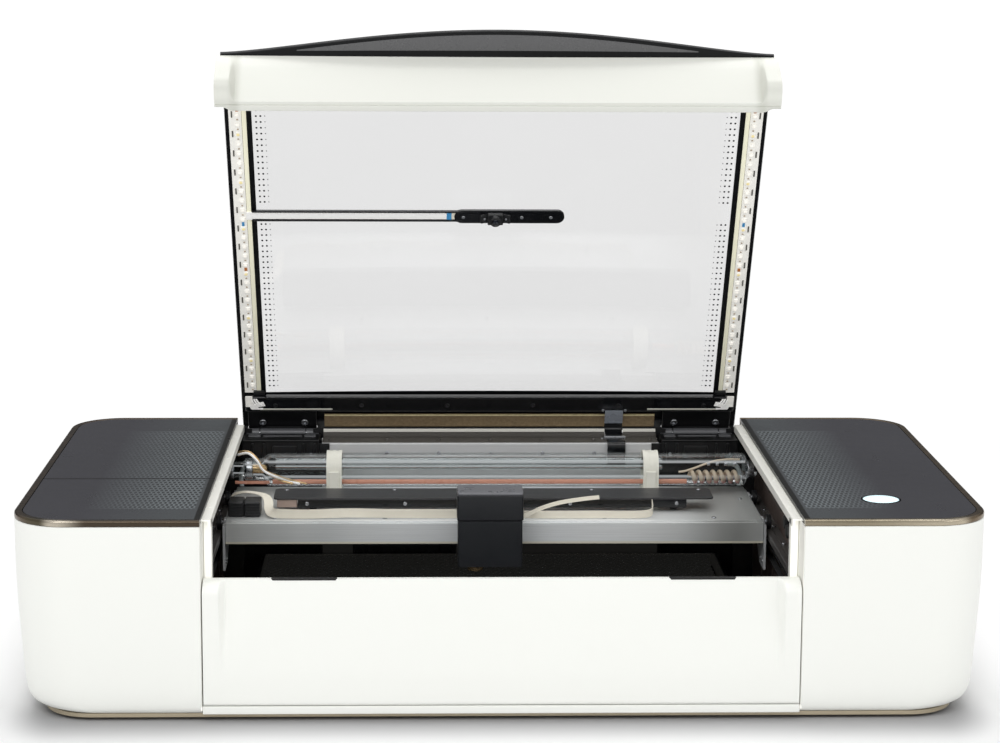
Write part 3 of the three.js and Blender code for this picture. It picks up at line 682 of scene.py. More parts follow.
WHITE = surface("shell_white", (243, 244, 239), 0.42, vary=0.012, vscale=4.0, rvary=0.04, grain=1600.0, gstr=0.045, gdist=0.00025, spec=0.42, hollow_shade=0.25)
BARW = make_bar_white()
WHITE2 = surface("door_white", (243, 244, 239), 0.38, vary=0.010, vscale=3.0, rvary=0.04, grain=1500.0, gstr=0.04, gdist=0.00025, spec=0.42, hollow_shade=0.2)
TRIMW = make_trim()
BEZEL = make_bezel()
PANEL = make_panel()
BASE = surface("base_bronze", (184, 172, 148), 0.42, metal=0.45, vary=0.08, vscale=14.0, grain=2200.0, gstr=0.12, gdist=0.0002)
RUBBER = surface("foot_rubber", (36, 36, 37), 0.85, vary=0.10, vscale=40.0, grain=1300.0, gstr=0.35, gdist=0.0006, spec=0.25)
BLACK = surface("moulded_black", (24, 25, 27), 0.42, vary=0.12, vscale=18.0, grain=1700.0, gstr=0.14, gdist=0.0004, wear=0.25)
BLACKG = surface("gloss_black", (16, 17, 20), 0.16, vary=0.12, vscale=9.0, grain=500.0, gstr=0.03, spec=0.5)
# grey hinge metal for the knuckles; on the lid's hinge barrel the lighter grey also stands in for a painted highlight
HINGEG = surface("hinge_grey", (92, 93, 96), 0.38, metal=0.2, vary=0.12, vscale=40.0)
HINGE = surface("hinge_black", (15, 15, 17), 0.36, metal=0.3, vary=0.15, vscale=26.0, grain=1500.0, gstr=0.16, wear=0.35)
DECKM = make_deck()
ALU = brushed("aluminium_x", (206, 210, 211), 0.36, "x", metal=0.30)
ALUP = brushed("plenum_sheet", (200, 201, 202), 0.38, "x", metal=0.2, wear=0.1)
ALUY = brushed("aluminium_y", (214, 216, 218), 0.36, "y", metal=0.30)
DARKP = brushed("cover_dark", (78, 78, 80), 0.42, "x", metal=0.8)
WALL = surface("wall_dark", (92, 80, 75), 0.5, metal=0.15, vary=0.22, vscale=16.0, grain=1500.0, gstr=0.16)
STEEL = surface("screw_steel", (176, 178, 182), 0.26, metal=1.0, vary=0.08, vscale=120.0, grain=1400.0, gstr=0.08)
BRASS = surface("brass", (206, 176, 132), 0.26, metal=0.75, vary=0.10, vscale=60.0, grain=1600.0, gstr=0.08)
COPPER = surface("copper_pink", (238, 166, 140), 0.3, metal=0.0, vary=0.12, vscale=40.0, rvary=0.08)
COIL = make_coil()
DUCTM = make_duct()
DUCTD = surface("duct_shade", (86, 83, 79), 0.45, metal=0.2, vary=0.14, vscale=30.0, grain=1500.0, gstr=0.12)
# painted highlights: the duct lip and the rail strips glow as if catching light
DUCT_LIP_GLOW = make_glow_finish("duct_lip_glow", (214, 212, 204), 0.10, 0.3)
RAILG = make_glow_finish("rail_glint", (196, 196, 186), 0.10, 0.32)
RAILD = brushed("rail_dark", (104, 101, 100), 0.36, "y", metal=0.45)
CLIPS = surface("clip_steel", (158, 164, 174), 0.30, metal=0.25, vary=0.10, vscale=60.0, grain=1400.0, gstr=0.08)
FRAMED = surface("frame_dark", (70, 66, 60), 0.5, metal=0.3, vary=0.12, vscale=30.0, grain=1500.0, gstr=0.12)
MOUNT = surface("mount_anodised", (172, 152, 142), 0.4, metal=0.3, vary=0.08, vscale=60.0)
CLAMP = surface("clamp_plastic", (232, 231, 220), 0.5, vary=0.03, vscale=60.0, grain=900.0, gstr=0.12)
BELT = surface("belt_rubber", (26, 26, 27), 0.75, vary=0.12, vscale=60.0, grain=1900.0, gstr=0.3)
# lighter bead colour, standing in for the highlight along the seal's edge
TANL = surface("seal_bead", (232, 214, 168), 0.8, vary=0.3, vscale=260.0, grain=620.0, gstr=0.6, gdist=0.0008, spec=0.15)
TAN = surface("seal_tan", (134, 116, 90), 0.9, vary=0.35, vscale=260.0, grain=620.0, gstr=0.9, gdist=0.0012, spec=0.15)
FRIT = surface("frit_black", (11, 12, 15), 0.34, vary=0.10, vscale=12.0, grain=600.0, gstr=0.03, spec=0.2)
# the visor's black print made grey, as a painted sheen
FRITG = surface("frit_visor", (88, 88, 90), 0.26, vary=0.10, vscale=5.0, grain=600.0, gstr=0.03, spec=0.5)
GLASS = make_clear("lid_clear", (244, 244, 244), 0.75)
TGLASS = make_clear("tube_clear", (243, 245, 245), 0.40, 0.012, painted_streaks=True)
# painted light: the strip board, its cream edge and the white ribbons glow a little; the LED lenses and phosphor are
# the lamps
PCBW = make_glow_finish("strip_board", (248, 246, 240), 0.16, 0.5)
PCBX = surface("strip_mark", (190, 176, 158), 0.5, vary=0.04, vscale=120.0, grain=900.0, gstr=0.08)
CREAM = make_glow_finish("strip_cream", (250, 247, 222), 0.14, 0.45)
LED = make_glow_finish("led_lens", (255, 250, 240), 0.35)
LEDY = make_glow_finish("led_phosphor", (255, 236, 176), 0.2)
RIBW = make_glow_finish("ribbon_white", (250, 249, 247), 0.14, 0.38)
RIBC = surface("ribbon_cream", (238, 232, 216), 0.36, vary=0.06, vscale=40.0, grain=900.0, gstr=0.06)
CYAN = surface("tape_cyan", (70, 150, 205), 0.4, vary=0.06, vscale=90.0)
GREYR = surface("resistor_grey", (96, 94, 88), 0.5, vary=0.2, vscale=300.0)
ORANGE = surface("part_orange", (196, 120, 62), 0.4, vary=0.1, vscale=300.0)
RED = surface("lead_red", (112, 26, 24), 0.45, vary=0.15, vscale=60.0)
PCB = surface("circuit_green", (28, 84, 54), 0.42, vary=0.14, vscale=80.0, grain=700.0, gstr=0.1)
CHIP = surface("chip_black", (30, 30, 32), 0.5, vary=0.1, vscale=90.0)
TANK = surface("tank_plastic", (222, 228, 230), 0.35, vary=0.03, vscale=20.0)
GRID = brushed("grid_steel", (96, 96, 98), 0.4, "x", metal=0.9)
HEADM = surface("head_charcoal", (31, 33, 37), 0.4, vary=0.08, vscale=14.0, grain=1500.0, gstr=0.10, gdist=0.0003, spec=0.5)
HEADT = surface("head_cap", (120, 121, 126), 0.3, vary=0.06, vscale=14.0, grain=1500.0, gstr=0.08, spec=0.6)
# painted light: a faint glow lifts the honeycomb, the duct sheet and the grid frame out of their shade
for m_ in (GRID, DUCTM, FRAMED):
    for nd in m_.node_tree.nodes:
        if nd.type == "BSDF_PRINCIPLED":
            nd.inputs["Emission Color"].default_value = (1.0, 0.98, 0.9, 1.0)
            nd.inputs["Emission Strength"].default_value = 0.0065
LENSG = surface("lens_blue", (18, 22, 34), 0.05, vary=0.1, vscale=90.0, spec=0.9, coat=1.0)
BUTTON = make_glow_finish("button_glow", (214, 240, 246), 0.55, 0.3)
DKLINE = surface("gap_bronze", (92, 78, 66), 0.4, metal=0.5, vary=0.1, vscale=30.0)
COOL = surface("coolant_hose", (205, 214, 216), 0.25, vary=0.05, vscale=40.0)


# ---------------------------------------------------------------- side pods
LEVELS = [(7.3, 27, 8), (10, 18.5, 5), (14, 13, 3.2), (20, 9.6, 2.2), (28, 7.8, 1.5), (40, 6.5, 1.1), (68, 4.6, 0.8), (109, 1.8, 0.3), (150, 0.3, 0), (197, 0, 0)]


def plan(dx, dy, inner=POD_X, r=CORNER_R, n=20):
    x1, y1 = HALF_W - dx, HALF_D - dy
    mid = [(inner + (x1 - r - inner) * t, -y1) for t in (0, 0.35, 0.7)]
    side = [(x1, (-y1 + r) + (2 * (y1 - r)) * t) for t in (0.25, 0.5, 0.75)]
    return mid + arc(x1 - r, -y1 + r, r, n, -90, 0) + side + arc(x1 - r, y1 - r, r, n, 0, 90) + [(p[0], -p[1]) for p in mid[::-1]]


zs = [l[0] for l in LEVELS]
LZ = [7.3, 7.9, 8.7, 9.8, 11.2, 13, 15.2, 18, 21.5, 26, 32, 40, 52, 66, 84, 104, 128, 150, 174, 197]
for name, mir in (("right_side_shell", False), ("left_side_shell", True)):
    p = Part()
    outer, inner = [], []
    for z in LZ:
        dx, dy = pchip(zs, [l[1] for l in LEVELS], z), pchip(zs, [l[2] for l in LEVELS], z)
        zi = z + 3 * (1 - (z - 7.3) / (197 - 7.3))
        outer.append([(x, y, z) for x, y in plan(dx, dy)])
        inner.append([(x, y, zi) for x, y in plan(dx + 3, dy + 3, POD_X, CORNER_R - 3)])
    n, R = len(outer[0]), len(LZ)
    vs = [q for r in outer for q in r] + [q for r in inner for q in r]
    off = n * R
    fs = []
    for i in range(R - 1):
        for j in range(n - 1):
            a = i * n + j
            fs.append([a, a + 1, a + n + 1, a + n])
            fs.append([off + a + n, off + a + n + 1, off + a + 1, off + a])
        for j in (0, n - 1):
            a = i * n + j
            fs.append([a, a + n, off + a + n, off + a])
    t = (R - 1) * n
    for j in range(n - 1):
        fs.append([t + j, t + j + 1, off + t + j + 1, off + t + j])
    fs.append(list(range(n)))
    fs.append([off + j for j in range(n)][::-1])
    fs.append([0, n - 1, off + n - 1, off])
    p.raw(vs, fs)
    p.make(name + "_skin", "case", WHITE, "white_shell", mirror=mir, bevel=0.9, seg=3, sharp=42, replaces=(name,))

SECTION = [(0.5, 197.3), (0, 197.8), (0, 199.6)] + [(2.6 - 2.6 * math.cos(math.radians(a)), 200.6 + 2.6 * math.sin(math.radians(a))) for a in (0, 18, 36, 54, 72, 90)] + [(7.3, 203.2), (7.7, 203.0), (7.9, 202.6), (8.0, 197.3)]
for name, mir in (("right_bezel", False), ("left_bezel", True)):
    p = Part()
    rows = [[(x, y, z) for x, y in plan(u, u, POD_X, CORNER_R - u, 28)] for u, z in SECTION]
    n, R = len(rows[0]), len(rows)
    vs = [q for r in rows for q in r]
    fs = [[i * n + j, i * n + j + 1, ((i + 1) % R) * n + j + 1, ((i + 1) % R) * n + j] for i in range(R) for j in range(n - 1)]
    fs += [[i * n for i in range(R)], [i * n + n - 1 for i in range(R)][::-1]]
    p.raw(vs, fs)
    p.make(name + "_trim", "case", BEZEL, "bezel_metal", mirror=mir, sharp=50, replaces=(name,))

out = plan(8.5, 8.5, POD_X + 0.1, 48.5, 28)
Part().prism(out, "z", 199.1, 203.0, holes=[circle(BTN_X, BTN_Y, BTN_R + 0.9, 64)[::-1]]).make(
    "right_top_glass", "case", PANEL, "dark_panel", bevel=0.35, seg=2, replaces=("right_top_panel",))
front = [(x, min(y, -70.25)) for x, y in out if y < -70.25] + [(HALF_W - 8.5, -70.25), (POD_X + 0.1, -70.25)]
back = [(POD_X + 0.1, -69.75), (HALF_W - 8.5, -69.75)] + [(x, y) for x, y in out if y > -69.75]
Part().prism(front, "z", 199.1, 203.0).make("left_top_glass_front", "case", PANEL, "dark_panel", mirror=True, bevel=0.3, seg=2, replaces=("left_top_panel",))
Part().prism(back, "z", 199.1, 203.0).make("left_top_glass_rear", "case", PANEL, "dark_panel", mirror=True, bevel=0.3, seg=2)

for side, mir in (("right", False), ("left", True)):
    p = Part()
    p.prism([(287, 189.3), (287.7, 189), (289.6, 189), (290, 189.6), (290, 195.4), (290.8, 195.8), (314, 195.8), (314, 198.8), (295.2, 198.8), (295.2, 197.6), (287.6, 197.6), (287, 197)], "y", -235, 246)
    p.rbox(287, 295.1, -224.5, -212.5, 16.2, 196, 1.2, 3)
    p.rbox(295.3, 297.0, -260.2, -212.6, 10.5, 195.6, 0.4, 2)
    for y in (-180, -60, 60, 180):
        p.screw((292.2, y, 197.5), (0, 0, 1), 1.6, 0.5, 1)
    p.make(side + "_inner_ledge", "case", [TRIMW, WHITE], "white_shell", mirror=mir, bevel=0.35, replaces=(side + "_inner_trim",))

# power button: a glowing lens in a ring, on a short stem
p = Part()
p.lathe([(0, 203.75), (6, 203.72), (12, 203.6), (16.4, 203.35), (17.8, 203.05), (18.3, 202.5), (18.3, 201.2), (0, 201.2)], "z", (BTN_X, BTN_Y), 64)
p.lathe([(18.5, 203.3), (19.1, 203.2), (19.4, 202.8), (19.4, 199.8), (18.5, 199.8)], "z", (BTN_X, BTN_Y), 64, 1, closed=True)
p.lathe([(0, 201.1), (18.4, 201.1), (18.4, 199.9), (6, 199.7), (5.8, 188.4), (4.8, 188), (0, 188)], "z", (BTN_X, BTN_Y), 48, 2)
p.make("power_button_lens", "power_button", [BUTTON, BLACKG, BLACK], "button_light", sharp=40, replaces=("power_button",))

# ---------------------------------------------------------------- base, sill, feet, back
p = Part()
p.prism(rrect(-455, 455, -256, 256, 50, 16), "z", 3, 7)
for x in (-240, 240):
    for y in (-160, 140):
        p.rbox(x - 10, x + 10, y - 10, y + 10, 6.5, 15.6, 1.2, 2)
for x in (-380, -130, 130, 380):
    for y in (-225, 225):
        p.screw((x, y, 3.1), (0, 0, -1), 3.2, 1.3, 1)
for x in range(-180, 181, 24):
    p.rbox(x - 8, x + 8, -2.2, 2.2, 2.5, 3.2, 0.25, 1, 2)
    p.rbox(x - 8, x + 8, 27.8, 32.2, 2.5, 3.2, 0.25, 1, 2)
p.make("base_plate", "case", [BASE, STEEL, BLACK], "base_metal", bevel=0.8, seg=3, replaces=("base_pan",))
for n_, x, y in (("front_left", -400, -200), ("front_right", 400, -200), ("rear_left", -400, 200), ("rear_right", 400, 200)):
    Part().lathe([(0, 2.7), (11.2, 2.7), (11.6, 2.2), (13.4, 1.8), (14, 1.1), (14, 0.5), (13.4, 0), (11, 0), (10.6, 0.5), (9.4, 0.5), (9, 0), (6.5, 0), (6.1, 0.5), (4.9, 0.5), (4.5, 0), (0, 0)], "z", (x, y), 48).make(
        "rubber_foot_" + n_, "case", RUBBER, "foot_rubber", sharp=30, replaces=("foot_" + n_,))
p = Part()
p.rbox(-295, 295, -262.4, -230, 7.3, 15.6, 1.3, 3)
p.make("sill_moulding", "case", WHITE2, "white_shell", replaces=("front_sill",))

# back panel: a plate with a fan opening, two slotted vents, the mains inlet and its switch
slots_h = []
for x0 in (72, 214):
    w = 56
    for i in range(9):
        z = 44 + i * 10.5
        slots_h.append(rrect(x0, x0 + w, z, z + 4.6, 2.2, 4)[::-1])
for i in range(7):
    z = 60 + i * 10.5
    slots_h.append(rrect(-276, -220, z, z + 4.6, 2.2, 4)[::-1])
p = Part()
p.prism([(-295, 8), (295, 8), (295, 166), (197, 166), (197, 181), (-197, 181), (-197, 166), (-295, 166)], "y", 248.3, 250.8,
        holes=[circle(FAN_X, FAN_Z, 54, 64)[::-1], rrect(146, 176, 22, 44, 2, 3)[::-1], rrect(182, 204, 24, 42, 2, 3)[::-1]] + slots_h)
for x in (-286, -150, 0, 150, 286):
    p.screw((x, 250.7, 14), (0, 1, 0), 2.6, 1.4, 1)
for x in (-286, 286):
    for z in (70, 156):
        p.screw((x, 250.7, z), (0, 1, 0), 2.6, 1.4, 1)
for x in (-188, -60, 60, 188):
    p.screw((x, 250.7, 174), (0, 1, 0), 2.6, 1.4, 1)
p.make("back_plate", "case", [WHITE, STEEL], "white_shell", bevel=0.4, seg=2, replaces=("rear_panel",))
p = Part()
p.prism([(-294, 9), (294, 9), (294, 165), (196, 165), (196, 180), (-196, 180), (-196, 165), (-294, 165)], "y", 247.0, 248.1,
        holes=[circle(FAN_X, FAN_Z, 54.5, 64)[::-1], rrect(145, 177, 21, 45, 2, 3)[::-1], rrect(181, 205, 23, 43, 2, 3)[::-1]])
p.make("vent_filter_sheet", "case", RUBBER, "black_plastic", sharp=35)
p = Part()
p.prism(rrect(146.4, 175.6, 22.4, 43.6, 3, 4), "y", 246.6, 253.2, holes=[rrect(149.4, 172.6, 25.2, 40.8, 3.5, 4)[::-1]])
p.rbox(149.2, 172.8, 236.5, 239, 25, 41, 0.4, 1)
for x, z in ((154.5, 31), (161, 36), (167.5, 31)):
    p.rbox(x - 2.0, x + 2.0, 238.5, 249, z - 1, z + 1, 0.3, 1, 1)
p.prism(rrect(182.4, 203.6, 24.4, 41.6, 2, 4), "y", 246.6, 252.8, holes=[rrect(184.2, 201.8, 26.2, 39.8, 1.2, 3)[::-1]])
p.prism([(250.5, 26.6), (253.6, 27.4), (250.9, 33), (251.4, 39.4), (246.5, 39.4), (246.5, 26.6)], "x", 184.6, 201.4)
p.make("mains_inlet", "case", [BLACK, STEEL], "black_plastic", bevel=0.3, seg=2)

# ---------------------------------------------------------------- chamber walls, rails, belts
for side, mir, sgn in (("right", False, 1), ("left", True, -1)):
    p = Part()
    p.rbox(312, 314, -211, 246, 10.8, 195.4, 0.5, 2, 0)
    p.prism([(297.6, 116), (297.3, 116.4), (297.3, 123.4), (297.9, 124), (303.4, 124), (303.8, 123.2), (304.6, 123.2), (305, 124), (312.4, 124), (312.4, 116)], "y", -205, 204, 1)
    p.lathe([(0, 298.5), (2.2, 298.5), (2.4, 298.8), (2.4, 312.5), (0, 312.5)], "x", (186, 99), 24, 2)
    p.lathe([(0, 300.2), (5.8, 300.2), (6.2, 300.7), (6.2, 307), (8.6, 307), (8.6, 308.4), (4.2, 308.6), (4.2, 312.5), (0, 312.5)], "x", (-196, 99), 32, 2)
    p.rbox(288.5, 312.4, 243.6, 246.0, 10.8, 195.4, 0.5, 2, 3)
    for y in (-190, -120, -40, 40, 120, 190):
        p.screw((307.5, y, 123.9), (0, 0, 1), 2.4, 1.6, 2)
        p.screw((312.1, y, 180), (-1, 0, 0), 2.4, 1.5, 2)
    for y in (-150, -60, 30, 120, 200):
        p.rbox(309.6, 312.4, y - 26, y + 26, 150, 168, 0.8, 2, 3)
    for y in (-198, -110, -20, 70, 160):
        p.rbox(310.4, 312.4, y - 3, y + 3, 20, 112, 0.8, 2, 0)
    p.make(side + "_chamber_side", "case", [WALL, RAILD, STEEL, BLACK], "dark_metal", mirror=mir, sharp=35, replaces=(side + "_chamber_wall",))

    # toothed drive belt round the two pulleys
    p = Part()
    y0, y1, z, r0 = -196, 186, 99, 6.75
    loop_o, loop_i = [], []
    half = math.pi * r0
    straight = y1 - y0
    per = 2 * straight + 2 * half
    N = 2 * int(round(per / 2.0))
    for i in range(N * 2):
        s_ = per * i / (N * 2)
        if s_ < straight:
            q, nrm = (y0 + s_, z - r0), (0, -1)
        elif s_ < straight + half:
            a = (s_ - straight) / r0 - math.pi / 2
            q, nrm = (y1 + r0 * math.cos(a), z + r0 * math.sin(a)), (math.cos(a), math.sin(a))
        elif s_ < 2 * straight + half:
            q, nrm = (y1 - (s_ - straight - half), z + r0), (0, 1)
        else:
            a = (s_ - 2 * straight - half) / r0 + math.pi / 2
            q, nrm = (y0 + r0 * math.cos(a), z + r0 * math.sin(a)), (math.cos(a), math.sin(a))
        tooth = 0.0 if (i % 4) in (0, 1) else 0.45
        loop_i.append((q[0] + nrm[0] * tooth, q[1] + nrm[1] * tooth))
        loop_o.append((q[0] + nrm[0] * 1.3, q[1] + nrm[1] * 1.3))
    n = len(loop_i)
    rings = [[(x, a, b) for a, b in lp] for lp, x in ((loop_i, 301), (loop_o, 301), (loop_o, 307), (loop_i, 307))]
    vs = [q for r in rings for q in r]
    fs = [[k * n + j, k * n + (j + 1) % n, ((k + 1) % 4) * n + (j + 1) % n, ((k + 1) % 4) * n + j] for k in range(4) for j in range(n)]
    p.raw(vs, fs)
    p.make(side + "_toothed_belt", "case", BELT, "belt_rubber", mirror=mir, sharp=30, weighted=False, replaces=(side + "_y_belt",))

    # driven pulley with teeth and flanges
    p = Part()
    teeth = []
    for i in range(20 * 4):
        a = 2 * math.pi * i / 80
        rr = 6.35 if (i % 4) in (0, 1) else 5.75
        teeth.append((186 + rr * math.cos(a), 99 + rr * math.sin(a)))
    p.prism(teeth, "x", 300.4, 307.7, 0, holes=[circle(186, 99, 2.8, 24)[::-1]])
    for a0, a1 in ((299.2, 300.4), (307.7, 309)):
        p.lathe([(2.8, a0), (9.2, a0), (9.6, a0 + 0.3), (9.6, a1 - 0.3), (9.2, a1), (2.8, a1)], "x", (186, 99), 40, 0, closed=True)
    p.make(side + "_drive_pulley", side + "_y_pulley", ALUY, "sheet_metal", mirror=mir, sharp=30, replaces=(side + "_y_pulley",))

    # grooved rollers on their bearings
    for end, y in (("front", 30), ("rear", 150)):
        p = Part()
        prof = [(5.0, 297.2), (7.4, 297.2), (8.0, 297.7), (8.0, 299.2), (7.7, 299.5), (7.7, 300.1), (8.0, 300.4), (8.0, 301.9), (7.4, 302.4), (5.0, 302.4)]
        p.lathe(prof, "x", (y, 132.4), 48, 0, closed=True)
        p.lathe([(2.9, 297.0), (4.9, 297.0), (4.9, 302.6), (2.9, 302.6)], "x", (y, 132.4), 32, 1, closed=True)
        p.make(f"roller_{end}_{side}", f"wheel_{end}_{side}", [BLACK, STEEL], "black_plastic", mirror=mir, sharp=30, replaces=(f"wheel_{end}_{side}",))

# fittings on the right wall: a black sensor block and a bundle of dark red leads
p = Part()
for y, z, k_ in ((-100, 152, 9), (-85, 148, 7), (-68, 154, 8)):
    p.rbox(302.4, 311.8, y - k_, y + k_, z - 6, z + 7, 2.2, 3)
p.rbox(304.4, 311.8, -140, -116, 128, 146, 2.0, 3)
for i in range(4):
    pts = [(309.4, -60 - i * 5, 146 - i * 2), (307.8, -96 - i * 6, 140 - i * 3), (308.4, -130 - i * 7, 126 - i * 6), (309.6, -158 - i * 5, 96 - i * 5), (310, -170 - i * 4, 60)]
    p.tube(spline(pts, 6), 1.5, 8, 1)
p.make("right_wall_wiring", "case", [BLACK, RED], "black_plastic", sharp=40)
p = Part()
for i in range(3):
    pts = [(-309.4, -90 - i * 5, 150 - i * 3), (-307.6, -120 - i * 5, 134 - i * 4), (-308.6, -150 - i * 5, 100), (-310, -165 - i * 4, 50)]
    p.tube(spline(pts, 6), 1.4, 8, 1)
p.rbox(-311.6, -303.5, -112, -92, 146, 160, 2.0, 3)
p.make("left_wall_wiring", "case", [BLACK, BLACKG], "black_plastic", sharp=40)

# ---------------------------------------------------------------- exhaust duct, fan, hinge brackets
p = Part()
p.prism([(-195, 12), (195, 12), (195, 182.6), (-195, 182.6)], "y", 206, 207.6, 0, holes=[rrect(-160, -40, 30, 128, 6, 5)[::-1]])
p.prism([(206, 182.4), (206.4, 183.6), (207.4, 184), (209.2, 184), (209.2, 182.4)], "x", -195, 195, 0)
# the lip's top face and lower strips in duct_shade as painted shade; its bright band (material 4) glows as a painted
# highlight
p.prism([(209.4, 182.4), (209.4, 183.9), (244, 183.9), (246, 183.9), (246, 183), (245.4, 182.4)], "x", -195, 195, 3)
for xa, xb in ((-195, 134.85), (156.15, 195)):
    p.rbox(xa, xb, 244.4, 246, 183.6, 187.6, 0.4, 2, 3)
    p.rbox(xa, xb, 251.2, 252.8, 181.6, 187.9, 0.3, 2, 3)
    p.rbox(xa, xb, 251.2, 252.8, 188.0, 191.9, 0.5, 3, 4)
    p.rbox(xa, xb, 251.4, 252.8, 192.0, 193.8, 0.4, 2, 2)
    p.rbox(xa, xb, 245.2, 252.8, 181.4, 183.2, 0.4, 2, 3)
for sx in (-1, 1):
    p.rbox(*sorted((sx * 186.2, sx * 197.8)), 204.4, 205.8, 138, 184, 0.4, 2, 2)
for x in (-186, -120, -60, 0, 60, 120, 186):
    p.screw((x, 226, 183.9), (0, 0, 1), 2.4, 1.4, 3)
    p.screw((x, 206.1, 172), (0, -1, 0), 2.4, 1.4, 1)
for x in (-90, 90):
    p.rbox(x - 26, x + 26, 204.9, 206.3, 158, 166, 0.5, 2, 0)
p.make("exhaust_duct", "case", [DUCTM, STEEL, HINGE, DUCTD, DUCT_LIP_GLOW], "sheet_metal", bevel=0.35, seg=2, replaces=("exhaust_plenum",))
p = Part()
for i in range(9):
    p.rbox(-158 + i * 14.2 - 0.9, -158 + i * 14.2 + 0.9, 208.1, 210, 31, 127, 0.3, 1)
for i in range(7):
    p.rbox(-159, -41, 207.9, 209.9, 34 + i * 14 - 0.9, 34 + i * 14 + 0.9, 0.3, 1)
p.rbox(-161.5, -38.5, 210.6, 211.8, 28, 130, 0.3, 1)
p.make("duct_grille", "case", BLACK, "sheet_metal", sharp=40)

p = Part()
p.prism(rrect(FAN_X - 62, FAN_X + 62, FAN_Z - 62, FAN_Z + 62, 8, 6), "y", 214, 217.5, 0, holes=[circle(FAN_X, FAN_Z, 50, 64)[::-1]] + [circle(FAN_X + sx * 54, FAN_Z + sz * 54, 2.6, 16)[::-1] for sx in (-1, 1) for sz in (-1, 1)])
p.prism(rrect(FAN_X - 62, FAN_X + 62, FAN_Z - 62, FAN_Z + 62, 8, 6), "y", 236.5, 240, 0, holes=[circle(FAN_X, FAN_Z, 50, 64)[::-1]] + [circle(FAN_X + sx * 54, FAN_Z + sz * 54, 2.6, 16)[::-1] for sx in (-1, 1) for sz in (-1, 1)])
p.lathe([(50, 216), (53.4, 216), (53.4, 238), (52.5, 240.4), (52.5, 256), (53.3, 257), (52.5, 258), (52.5, 262), (53.3, 263), (52.5, 264), (52.5, 269.4), (51.9, 270), (50.4, 270), (50, 269.4)], "y", (FAN_X, FAN_Z), 72, 0, closed=True)
for i in range(3):
    a = math.radians(90 + 120 * i)
    p.at(Matrix.Translation((FAN_X, 0, FAN_Z)) @ Matrix.Rotation(-a, 4, "Y"))
    p.rbox(15, 50.6, 241.6, 244.6, -2.6, 2.6, 0.8, 2)
p.at(None)
p.lathe([(0, 240.5), (15, 240.5), (16, 241.2), (16, 244.2), (15, 245), (0, 245)], "y", (FAN_X, FAN_Z), 40)
p.lathe([(0, 220), (2.8, 220), (3, 220.4), (3, 241), (0, 241)], "y", (FAN_X, FAN_Z), 20, 1)
p.make("fan_housing", "case", [BLACK, STEEL], "black_plastic", sharp=32, replaces=("exhaust_fan_housing",))
p = Part()
p.lathe([(3.5, 216.9), (14.6, 216.9), (16, 218.4), (16, 237.6), (15.4, 238), (3.5, 238)], "y", (FAN_X, FAN_Z), 48, 0, closed=True)
for i in range(7):
    rows_t, rows_b = [], []
    for k_ in range(9):
        rr = 15.4 + (45.6 - 15.4) * k_ / 8
        tw = 0.80 - 0.42 * k_ / 8
        top, bot = [], []
        for c_ in range(7):
            s_ = (c_ / 6 - 0.5) * (19 + 4 * k_ / 8)
            th_ = 0.85 * (1 - (2 * c_ / 6 - 1) ** 2) + 0.25
            cam = 1.6 * (1 - (2 * c_ / 6 - 1) ** 2)
            y_, t_ = s_ * math.sin(tw) , s_ * math.cos(tw)
            ny, nt = math.cos(tw), -math.sin(tw)
            for sg, lst in ((1, top), (-1, bot)):
                yy, tt = y_ + ny * (cam + sg * th_), t_ + nt * (cam + sg * th_)
                ang = 2 * math.pi * i / 7 + tt / rr
                lst.append((FAN_X + rr * math.cos(ang), max(217.2, min(237.6, 227.5 + yy)), FAN_Z + rr * math.sin(ang)))
        rows_t.append(top + bot[::-1])
    p.loft(rows_t)
p.make("fan_impeller", "exhaust_impeller", BLACK, "black_plastic", sharp=50, replaces=("exhaust_impeller",))

